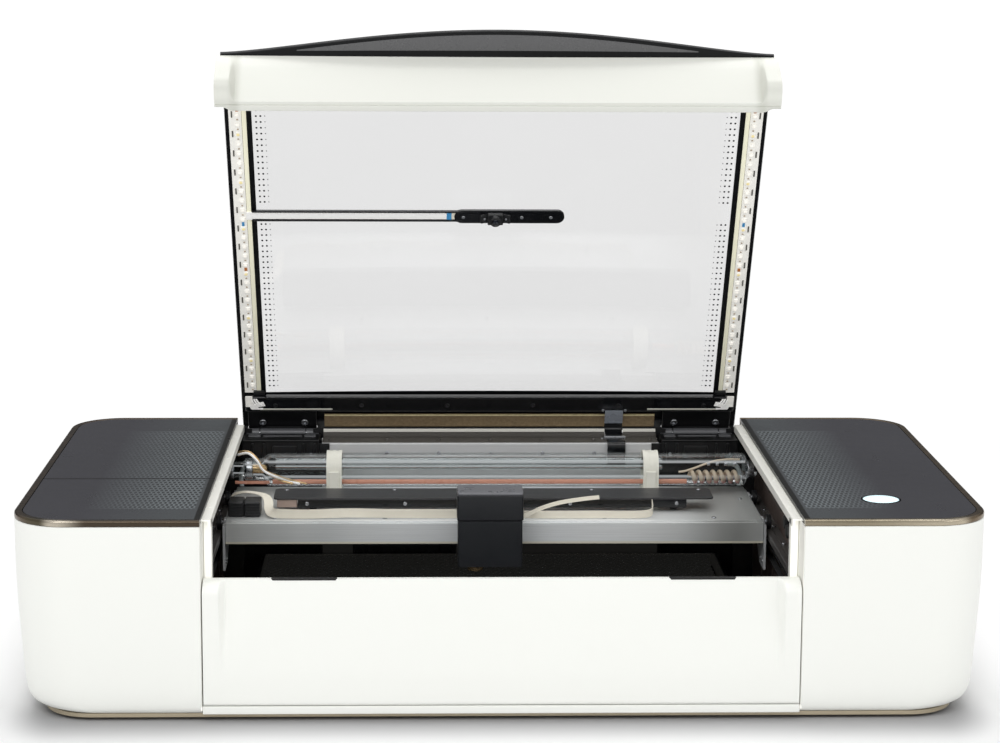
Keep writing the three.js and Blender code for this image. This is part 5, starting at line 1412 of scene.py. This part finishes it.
# ---------------------------------------------------------------- gantry
def make_gantry():
    p = Part()
    t = 2.2
    p.rbox(-BEAM_HALF, BEAM_HALF, BEAM_Y, BEAM_Y + t, 113, DECK_Z, 0.7, 3, 0)
    p.rbox(-BEAM_HALF, BEAM_HALF, BEAM_Y + 0.3, 22, 113, 115.0, 0.6, 2, 0)
    p.rbox(-BEAM_HALF, BEAM_HALF, BEAM_Y + 0.3, DECK_Y1, DECK_Z - t, DECK_Z, 0.7, 2, 1)
    p.rbox(-BEAM_HALF, BEAM_HALF, DECK_Y1 - t, DECK_Y1, 118, DECK_Z - 0.2, 0.6, 2, 1)
    p.lathe([(0, 117), (6, 117), (6.2, 117.4), (6.2, 135), (0, 135)], "z", (273, 50), 32, 2)
    # a raised guide along the top front edge and the screw heads on the deck
    p.rbox(-286, 286, 12, 19, DECK_Z - 0.2, DECK_Z + 1.6, 0.5, 2, 0)
    for x in (-240, -120, 120, 240):
        p.screw((x, 30, DECK_Z - 0.1), (0, 0, 1), 2.6, 1.5, 2)
    for x in (-280, -150, 0, 150, 280):
        p.screw((x, 122, DECK_Z - 0.1), (0, 0, 1), 2.4, 1.4, 2)
    p.make("gantry_deck", "gantry", [DECKM, DECKM, STEEL], "sheet_metal", replaces=("gantry_beam",))
    for side, mir in (("right", False), ("left", True)):
        p = Part()
        p.prism([(6, 84), (40, 84), (60, 100), (150, 100), (170, 110), (186, 133.2), (6, 133.2)], "x", 292.4, 294.8, 0,
                holes=[rrect(70, 96, 106, 122, 4, 5)[::-1], rrect(106, 132, 106, 122, 4, 5)[::-1]])
        for y in (30, 150):
            p.rbox(292.4, 294.8, y - 6, y + 6, 131, 137, 0.5, 2, 0)
            p.lathe([(0, 293), (2.4, 293), (2.5, 293.3), (2.5, 303.2), (2.3, 303.5), (0, 303.5)], "x", (y, 132.4), 20, 1)
        for y, z in ((14, 128), (14, 92), (60, 128), (110, 128), (30, 92)):
            p.screw((292.5, y, z), (-1, 0, 0), 2.2, 1.3, 1)
        p.make(side + "_gantry_end", "gantry", [ALUY, STEEL], "sheet_metal", mirror=mir, bevel=0.4, seg=2, replaces=(side + "_gantry_plate",))

    # the laser tube: a glass jacket, the bore in it, the spiral return pipe and the two electrodes
    p = Part()
    prof = [(0, -300), (6.2, -300), (7, -299), (9, -297), (9, -282), (12.4, -280.4), (13, -279), (13, -262), (15.5, -258), (18.2, -255), (19, -251), (19, 286.0), (18.2, 288.6), (15.0, 290.6), (9.6, 292), (9, 293), (9, 301.6), (8, 303), (0, 303)]
    p.lathe(prof, "x", (TUBE_Y, TUBE_Z), 64)
    p.make("tube_jacket", "gantry", TGLASS, "tube_glass", sharp=40, replaces=("laser_tube",))
    p = Part()
    p.lathe([(0, -249.4), (2.4, -249.4), (2.7, -248.8), (2.7, 222), (2.4, 223), (0, 223)], "x", (TUBE_Y - 4.0, TUBE_Z - 13.4), 36, 0)
    p.lathe([(0, -292), (1.6, -292), (1.9, -291.4), (1.9, -253.4), (1.6, -252.8), (0, -252.8)], "x", (TUBE_Y - 3.4, TUBE_Z - 14.4), 32, 0)
    p.lathe([(6.6, -246), (7.0, -246), (7.2, -245), (7.2, 194), (7.0, 195), (6.6, 195)], "x", (TUBE_Y + 4.0, TUBE_Z + 6.0), 40, 1, closed=True)
    p.make("tube_bore", "gantry", [COPPER, TGLASS], "tube_glass", sharp=40)
    p = Part()
    hel = []
    turns = 7
    for i in range(turns * 24 + 1):
        a = 2 * math.pi * i / 24
        hel.append((227 + 57 * i / (turns * 24), TUBE_Y - 1.5 + 7.2 * math.cos(a), TUBE_Z - 8.6 + 5.6 * math.sin(a)))
    p.tube(hel, 2.5, 10, 0)
    wire = [(214, TUBE_Y - 2, TUBE_Z - 3.0), (222, TUBE_Y - 3, TUBE_Z - 1.4), (232, TUBE_Y - 2, TUBE_Z + 1.6), (244, TUBE_Y - 1, TUBE_Z + 6.0), (256, TUBE_Y, TUBE_Z + 9.4), (270, TUBE_Y, TUBE_Z + 11.2), (284, TUBE_Y, TUBE_Z + 11.0)]
    p.tube(spline(wire, 8), 1.3, 8, 0)
    for x in (246, 256, 266, 276):
        p.lathe([(0, x), (1.9, x), (2.1, x + 0.5), (2.1, x + 3.0), (1.9, x + 3.5), (0, x + 3.5)], "x", (TUBE_Y - 4, TUBE_Z + 6.6), 16, 1)
    p.make("tube_coil", "gantry", [COIL, STEEL], "tube_glass", sharp=40)
    p = Part()
    for x0 in (-279, -300.5, 292.5):
        p.lathe([(9.2, x0), (10.6, x0), (11, x0 + 0.6), (11, x0 + 6.4), (10.6, x0 + 7), (9.2, x0 + 7)], "x", (TUBE_Y, TUBE_Z), 40, 0, closed=True)
    p.lathe([(0, -276), (4.6, -276), (5.6, -274), (5.6, -262), (4.4, -258), (2, -256), (0, -256)], "x", (TUBE_Y, TUBE_Z + 1), 28, 1)
    p.make("tube_collars", "gantry", [STEEL, BRASS], "brass", sharp=35)
    p = Part()
    for k_, (dy, dz, m_) in enumerate(((-11, 15, 0), (-14, 10, 1), (-10, 5, 0))):
        pts = [(-288, TUBE_Y + dy + 6, TUBE_Z + 21 - k_ * 2), (-276, TUBE_Y + dy - 2, TUBE_Z + 20 + dz * 0.2), (-266, TUBE_Y + dy - 8, TUBE_Z + 12 + dz * 0.3), (-257, TUBE_Y + dy - 7, TUBE_Z + 2), (-240 + 6 * k_, TUBE_Y - 15, TUBE_Z - 9), (-226 + 8 * k_, TUBE_Y - 17, TUBE_Z - 13)]
        p.tube(spline(pts, 8), 1.5 - 0.2 * k_, 10, m_)
    p.make("tube_leads", "gantry", [BRASS, RIBW], "brass", sharp=40)
    # silicone hoses for the coolant
    p = Part()
    for pts in ([(-270, 174, 166), (-281, 181, 164), (-286, 184, 156), (-287, 184, 148), (-286, 182, 138.6)], [(270, 176, 166), (281, 182, 163), (286, 184, 156), (287, 184, 148), (286, 182, 138.6)]):
        p.tube(spline(pts, 8), 2.6, 14, 0)
    p.make("coolant_hoses", "gantry", COOL, "tank_plastic", sharp=40)

    for name, x0, x1 in (("left_tube_clamp", -187.7, -170.6), ("right_tube_clamp", 172, 189.2)):
        p = Part()
        for i in range(5):
            w_ = (x1 - x0 - 0.8) / 5
            a0 = x0 + i * (w_ + 0.2)
            ri = 22.0 if i % 2 == 0 else 21.5
            poly = [(TUBE_Y - ri, DECK_Z + 0.3), (TUBE_Y + ri, DECK_Z + 0.3)] + arc(TUBE_Y, TUBE_Z, ri, 28, 0, 180)
            p.prism(poly, "x", a0, a0 + w_ + 0.21, 0, holes=[circle(TUBE_Y, TUBE_Z, 19.6, 48)[::-1]])
        p.screw(((x0 + x1) / 2, TUBE_Y - 15.5, DECK_Z + 0.4), (0, 0, 1), 2.0, 1.2, 1)
        p.rbox(x0 + 3, x1 - 3, TUBE_Y - 24.6, TUBE_Y - 21.6, DECK_Z + 0.3, TUBE_Z + 2, 0.8, 2, 0)
        p.make(name + "_saddle", "gantry", [CLAMP, STEEL], "clamp_plastic", bevel=0.25, seg=2, replaces=(name,))

    # cover over the optics with its folded, darker front lip
    p = Part()
    outl = [(-243, 64)] + arc(-237, 66, 6, 6, 180, 270) + arc(237, 66, 6, 6, 270, 360) + [(243, 104)] + arc(237, 104, 6, 6, 0, 90) + arc(-237, 104, 6, 6, 90, 180)
    outl = rrect(-243, 243, 60, 110, 6, 6)
    p.prism(outl, "z", 150.2, 152.2, 0)
    for x in (-230, -110, 110, 230):
        p.screw((x, 100, 152.1), (0, 0, 1), 2.4, 1.2, 1)
    for x in (-200, 0, 200):
        p.rbox(x - 4, x + 4, 74, 104, DECK_Z + 0.3, 150.4, 0.6, 2, 0)
    p.make("optics_cover", "gantry", [DARKP, STEEL], "dark_metal", bevel=0.5, seg=2, replaces=("cover_plate",))
    p = Part()
    p.rbox(-216, 213, 59.8, 62.2, 141.2, 150.6, 0.7, 2, 0)
    for x in (-206, -98, 84, 202):
        p.screw((x, 59.9, 146), (0, -1, 0), 2.2, 1.2, 1)
    p.make("cover_lip", "gantry", [BLACKG, STEEL], "black_plastic")
    p = Part()
    p.rbox(-239, -217, 61.5, 72, 141.5, 150.3, 0.7, 2, 0)
    p.make("mirror_mounts", "gantry", [MOUNT], "brass")

    p = Part()
    p.rbox(-291, -274.4, 36, 66, DECK_Z + 0.3, 153, 1.4, 3, 0)
    p.rbox(-273.4, -256, 36, 66, DECK_Z + 0.3, 153, 1.4, 3, 0)
    for i in range(5):
        p.rbox(-290.4, -275, 35.4, 66.6, DECK_Z + 2.0 + i * 3.1, DECK_Z + 3.4 + i * 3.1, 0.3, 1, 0)
        p.rbox(-272.8, -256.6, 35.4, 66.6, DECK_Z + 2.0 + i * 3.1, DECK_Z + 3.4 + i * 3.1, 0.3, 1, 0)
    p.rbox(-280, -268, 38, 64, DECK_Z + 0.3, 150, 0.5, 2, 0)
    p.lathe([(0, 117), (2.2, 117), (2.4, 117.4), (2.4, 140), (0, 140)], "z", (-273, 50), 20, 1)
    p.make("cross_motor", "gantry", [BLACK, STEEL], "black_plastic", sharp=35, replaces=("x_motor",))
    p = Part()
    teeth = []
    for i in range(80):
        a = 2 * math.pi * i / 80
        rr_ = 6.35 if (i % 4) in (0, 1) else 5.75
        teeth.append((-273 + rr_ * math.cos(a), 50 + rr_ * math.sin(a)))
    p.prism(teeth, "z", 117.4, 126.7, 0, holes=[circle(-273, 50, 2.8, 24)[::-1]])
    for a0, a1 in ((116.2, 117.4), (126.7, 128)):
        p.lathe([(2.8, a0), (9.0, a0), (9.4, a0 + 0.3), (9.4, a1 - 0.3), (9.0, a1), (2.8, a1)], "z", (-273, 50), 40, 0, closed=True)
    p.make("cross_pulley", "x_pulley", ALU, "sheet_metal", sharp=30, replaces=("x_pulley",))
    p = Part()
    x0, x1, yc, r0 = -273.0, 273.0, 50.0, 6.75
    straight, half = x1 - x0, math.pi * r0
    per = 2 * straight + 2 * half
    N = int(round(per / 1.0))
    li, lo_ = [], []
    for i in range(N):
        s_ = per * i / N
        if s_ < straight:
            q, nr = (x0 + s_, yc - r0), (0, -1)
        elif s_ < straight + half:
            a = (s_ - straight) / r0 - math.pi / 2
            q, nr = (x1 + r0 * math.cos(a), yc + r0 * math.sin(a)), (math.cos(a), math.sin(a))
        elif s_ < 2 * straight + half:
            q, nr = (x1 - (s_ - straight - half), yc + r0), (0, 1)
        else:
            a = (s_ - 2 * straight - half) / r0 + math.pi / 2
            q, nr = (x0 + r0 * math.cos(a), yc + r0 * math.sin(a)), (math.cos(a), math.sin(a))
        tooth = 0.0 if (i % 2) == 0 else 0.45
        li.append((q[0] + nr[0] * tooth, q[1] + nr[1] * tooth))
        lo_.append((q[0] + nr[0] * 1.3, q[1] + nr[1] * 1.3))
    n = len(li)
    rings = [[(a, b, z) for a, b in lp] for lp, z in ((li, 118.6), (lo_, 118.6), (lo_, 124.6), (li, 124.6))]
    p.raw([q for r in rings for q in r], [[k * n + j, k * n + (j + 1) % n, ((k + 1) % 4) * n + (j + 1) % n, ((k + 1) % 4) * n + j] for k in range(4) for j in range(n)])
    p.make("cross_belt", "gantry", BELT, "belt_rubber", sharp=30, weighted=False, replaces=("x_belt",))

    # flat cables on the deck: from the left wall over the motor, then along the deck, and one at the right
    p = Part()
    pts = [(-289, 84, 151), (-276, 78, 155.2), (-262, 73, 155.2), (-252, 66, 153.4), (-248, 56, 149.5), (-247, 44, 144.8), (-243, 32, 142.6), (-230, 26.5, 142.5), (-200, 25, 142.5), (-160, 27, 143.2), (-120, 23.6, 143.4), (-80, 25, 142.8), (-40, 26, 142.5)]
    wd = [(0, 1, 0.1), (0.1, 1, 0), (0.3, 0.95, 0), (0.8, 0.5, 0), (1, 0.2, 0), (1, 0, 0.2), (0.7, 0, 0.7), (0.1, 0, 1), (0, 0, 1), (0, 0.1, 1), (0, -0.1, 1), (0, 0, 1), (0, 0, 1)]
    path = spline(pts, 6)
    ww = spline([Vector(w) for w in wd], 6)
    p.ribbon(path, [tuple(w) for w in ww], 10.2, 0.8, 0, lanes=8)
    p.make("deck_flat_cable", "gantry", RIBC, "light_strip", sharp=60, weighted=False)
    p = Part()
    pts = [(-40, 26, 142.5), (0, 25, 142.3), (40, 23.4, 142.0), (80, 24.6, 141.6), (120, 27, 141.2), (150, 25, 141.4), (164, 26, 141.8), (171, 30, 142.6), (173.5, 38, 144.2), (174, 48, 146), (174.3, 57, 147)]
    wd = [(0, 0, 1)] * 3 + [(0, 0.1, 1), (0, -0.05, 1)] + [(0, 0, 1)] * 6
    p.ribbon(spline(pts, 6), [tuple(w) for w in spline([Vector(w) for w in wd], 6)], 8.6, 0.8, 0, lanes=6)
    p.make("deck_flat_cable_right", "gantry", RIBC, "light_strip", sharp=60, weighted=False)


make_gantry()

# ---------------------------------------------------------------- head
p = Part()
x0, x1, y0, y1, z0, z1 = -42.0, 29.0, -34.0, 7.4, 97.6, 179.0
p.prism(rrect(x0 + 1.0, x1 - 1.0, y0 + 0.8, y1 - 0.2, 2.4, 5), "z", z0, 147.6, 0, holes=[rrect(x0 + 3.4, x1 - 3.4, y0 + 3.2, y1 - 2.6, 1.4, 4)[::-1]])
p.make("head_lower_cover", "head", HEADM, "black_plastic", bevel=0.9, seg=3, replaces=("head_cover",))
p = Part()
p.prism(rrect(x0, x1, y0, y1, 2.8, 6), "z", 148.4, 175.6, 0)
p.make("head_upper_cover", "head", HEADM, "black_plastic", bevel=1.1, seg=3)
p = Part()
p.prism(rrect(x0 + 0.4, x1 - 0.4, y0 + 0.4, y1 - 0.4, 2.6, 6), "z", 175.8, 179.0, 0)
p.make("head_top_cap", "head", HEADT, "black_plastic", bevel=0.9, seg=3)
p = Part()
p.rbox(x0 + 3, x1 - 3, y0 + 2.6, y1 - 2.6, 147.2, 176, 0.4, 1, 0)
p.rbox(8.2, 11.8, y0 + 3, y1 - 3, 116, 119, 0.5, 2, 0)
p.lathe([(0, 101), (2, 101), (2.2, 101.4), (2.2, 118), (0, 118)], "z", (10, -13.3), 20, 1)
p.rbox(-40, -33.4, y0 + 4, y1 - 4, 112, 146, 0.6, 2, 0)
for x in (-36, 23):
    for y in (y0 + 6, y1 - 6):
        p.screw((x, y, z0 + 2.0), (0, 0, -1), 1.8, 1.0, 1)
p.make("head_inner_frame", "head", [BLACK, STEEL], "black_plastic", sharp=35)
p = Part()
p.lathe([(2.7, 101.6), (4.8, 101.6), (5, 101.9), (5, 112.7), (4.8, 113), (2.7, 113)], "z", (10, -13.3), 32, 0, closed=True)
for i in range(9):
    rows_t = []
    for k_ in range(6):
        r_ = 4.8 + 8.0 * k_ / 5
        tw = 0.9 - 0.35 * k_ / 5
        top, bot = [], []
        for c_ in range(5):
            s_ = (c_ / 4 - 0.5) * 8.5
            th_ = 0.35 * (1 - (2 * c_ / 4 - 1) ** 2) + 0.15
            for sg, lst in ((1, top), (-1, bot)):
                zz, tt = s_ * math.sin(tw) + math.cos(tw) * sg * th_, s_ * math.cos(tw) - math.sin(tw) * sg * th_
                ang = 2 * math.pi * i / 9 + tt / max(r_, 6)
                lst.append((10 + r_ * math.cos(ang), -13.3 + r_ * math.sin(ang), 107.2 + zz))
        rows_t.append(top + bot[::-1])
    p.loft(rows_t)
p.make("head_fan_blades", "head_fan", BLACK, "black_plastic", sharp=50, replaces=("head_fan",))
p = Part()
prof = [(8, 112), (10, 112), (10.5, 111.4)]
for i in range(7):
    z = 110.2 - i * 1.7
    prof += [(10.5, z), (9.9, z - 0.5), (10.5, z - 1.0)]
prof += [(10.5, 96), (9.4, 94.6), (8.6, 92.6), (8.4, 90.4), (8, 90), (5.4, 90), (5, 90.4), (5, 92.4), (8, 92.6)]
p.lathe(prof, "z", (-22, -13.3), 48, 0, closed=True)
p.lathe([(0, 100.6), (3, 100.9), (6, 101.6), (7.8, 102.4), (7.8, 103), (0, 103)], "z", (-22, -13.3), 40, 1)
p.make("lens_barrel", "lens", [BRASS, LENSG], "brass", sharp=35, replaces=("lens_holder",))
# flat cable from the deck to the head
p = Part()
pts = [(116, 58, 153.4), (96, 52, 152.6), (72, 44, 150.6), (52, 30, 148), (40, 16, 146), (31.5, 2, 145.5), (30.2, -6, 146)]
p.ribbon(spline(pts, 8), (0.1, 0.4, 0.9), 4.6, 0.6, 0, lanes=5)
o = p.make("head_flat_cable", "head", RIBC, "light_strip", sharp=60, weighted=False)
o.parent = None
for k_ in [k for k in o.keys() if k == "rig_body"]:
    del o[k_]
o.matrix_world = Matrix.Identity(4)
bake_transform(o)


# ---------------------------------------------------------------- stage, light, camera
fl = bpy.data.meshes.new("floor")
fl.from_pydata([(-14, -14, -0.0005), (14, -14, -0.0005), (14, 14, -0.0005), (-14, 14, -0.0005)], [], [(0, 1, 2, 3)])
fo = bpy.data.objects.new("floor", fl)
bpy.context.scene.collection.objects.link(fo)
k = Mat("floor_pale")
n_ = k.noise(2.0, 2.0, 0.5)
fx, fy, fz = k.xyz()
qx = k.math("MAXIMUM", k.math("SUBTRACT", k.math("ABSOLUTE", fx), 0.435), 0.0)
qy = k.math("MAXIMUM", k.math("SUBTRACT", k.math("ABSOLUTE", k.math("ADD", fy, 0.005)), 0.232), 0.0)
dist = k.math("SQRT", k.math("ADD", k.math("MULTIPLY", qx, qx), k.math("MULTIPLY", qy, qy)))
front_ = k.step(fy, -0.13, -0.25)
qw = k.math("MULTIPLY", qx, 1.7)
dist_f = k.math("SQRT", k.math("ADD", k.math("MULTIPLY", qw, qw), k.math("MULTIPLY", qy, qy)))
seen = k.n("ShaderNodeLightPath").outputs["Is Camera Ray"]
# painted shadow: the floor darkens near the footprint, most in front and for camera rays
floor_shadow_paint = k.math("MULTIPLY", k.math("MAXIMUM", k.math("MULTIPLY", k.math("MULTIPLY", k.step(dist_f, 0.112, 0.028), front_), k.math("MULTIPLY", seen, 0.9)), k.step(dist, 0.062, 0.008)), 0.80)
k.set(Base_Color=k.mix(floor_shadow_paint, k.mix(n_, (0.86, 0.86, 0.865, 1), (0.875, 0.875, 0.875, 1)), (0.26, 0.26, 0.27, 1)), Roughness=0.75)
k.b.inputs["Specular IOR Level"].default_value = 0.1
# the far floor runs out into the white of the room
glow = k.n("ShaderNodeEmission")
glow.inputs[0].default_value = (1, 1, 1, 1)
glow.inputs[1].default_value = 1.04
far_mix = k.n("ShaderNodeMixShader")
rad = k.math("SQRT", k.math("ADD", k.math("MULTIPLY", fx, fx), k.math("MULTIPLY", fy, fy)))
side_ = k.math("MULTIPLY", k.math("MULTIPLY", k.step(dist, 0.045, 0.12), k.step(fy, -0.235, -0.16)), 0.8)
k.put(far_mix.inputs[0], k.math("MAXIMUM", k.math("MAXIMUM", k.step(rad, 0.75, 1.5), side_), k.math("MULTIPLY", k.step(dist, 0.13, 0.24), 0.9)))
k.l(k.b.outputs[0], far_mix.inputs[1])
k.l(glow.outputs[0], far_mix.inputs[2])
k.l(far_mix.outputs[0], k.out.inputs[0])
fl.materials.append(k.m)

world = bpy.data.worlds.new("studio")
bpy.context.scene.world = world
world.use_nodes = True
wt = world.node_tree
wt.nodes.clear()
wo = wt.nodes.new("ShaderNodeOutputWorld")
bg = wt.nodes.new("ShaderNodeBackground")
wt.links.new(bg.outputs[0], wo.inputs[0])
tc = wt.nodes.new("ShaderNodeTexCoord")
sep = wt.nodes.new("ShaderNodeSeparateXYZ")
wt.links.new(tc.outputs["Generated"], sep.inputs[0])


def wmath(op, a, b=0.0, clamp=False):
    m = wt.nodes.new("ShaderNodeMath")
    m.operation = op
    m.use_clamp = clamp
    for s_, v in ((m.inputs[0], a), (m.inputs[1], b)):
        if hasattr(v, "is_output"):
            wt.links.new(v, s_)
        else:
            s_.default_value = v
    return m.outputs[0]


def wrange(v, a, b, c, d):
    m = wt.nodes.new("ShaderNodeMapRange")
    m.interpolation_type = "SMOOTHSTEP"
    wt.links.new(v, m.inputs["Value"])
    for k_, x in zip(("From Min", "From Max", "To Min", "To Max"), (a, b, c, d)):
        m.inputs[k_].default_value = x
    return m.outputs[0]


# the room is bright, and darker low down behind the object, which keeps glossy tops dark
behind = wmath("MULTIPLY", wrange(sep.outputs[1], 0.35, 0.75, 0.0, 1.0), wrange(sep.outputs[2], 0.62, 0.30, 0.0, 1.0))
level = wmath("SUBTRACT", 0.71, wmath("MULTIPLY", behind, 0.60))
lp = wt.nodes.new("ShaderNodeLightPath")
mixv = wt.nodes.new("ShaderNodeMix")
mixv.data_type = "FLOAT"
wt.links.new(lp.outputs["Is Camera Ray"], mixv.inputs[0])
wt.links.new(level, mixv.inputs[2])
mixv.inputs[3].default_value = 1.05
bg.inputs[0].default_value = (1.0, 1.0, 1.0, 1.0)
wt.links.new(mixv.outputs[0], bg.inputs[1])


def area(name, loc, look, size, size_y, power, col=(1, 1, 1)):
    d = bpy.data.lights.new(name, "AREA")
    d.shape = "RECTANGLE"
    d.size, d.size_y, d.energy, d.color = size, size_y, power, col
    ob = bpy.data.objects.new(name, d)
    bpy.context.scene.collection.objects.link(ob)
    ob.location = loc
    ob.rotation_mode = "QUATERNION"
    ob.rotation_quaternion = (Vector(look) - Vector(loc)).to_track_quat("-Z", "Y")
    return ob


area("key_soft", (-0.9, -2.6, 2.6), (0, -0.1, 0.2), 2.4, 1.4, 31)
area("fill_soft", (2.2, -1.6, 1.8), (0, 0, 0.2), 1.6, 1.2, 9)
area("top_soft", (0, 0.75, 2.9), (0, 0.05, 0.1), 2.4, 1.8, 33)

cam_d = bpy.data.cameras.new("camera")
cam = bpy.data.objects.new("camera", cam_d)
bpy.context.scene.collection.objects.link(cam)
cam_d.sensor_width = 36
cam_d.lens = 2542 * 36 / 1000
cam_d.clip_start, cam_d.clip_end = 0.1, 60
yaw, pitch, roll = math.radians(1.76), math.radians(9.97), math.radians(0.32)
fwd = Vector((math.sin(yaw) * math.cos(pitch), math.cos(yaw) * math.cos(pitch), -math.sin(pitch)))
right = Vector((math.cos(yaw), -math.sin(yaw), 0))
up = right.cross(fwd)
r_ = right * math.cos(roll) + up * math.sin(roll)
u_ = -right * math.sin(roll) + up * math.cos(roll)
cam.matrix_world = Matrix(((r_.x, u_.x, -fwd.x, -78.3 * S), (r_.y, u_.y, -fwd.y, (-2675.5 + OY) * S), (r_.z, u_.z, -fwd.z, 774.9 * S), (0, 0, 0, 1)))
bpy.context.scene.camera = cam
bpy.context.scene.view_settings.view_transform = "Standard"
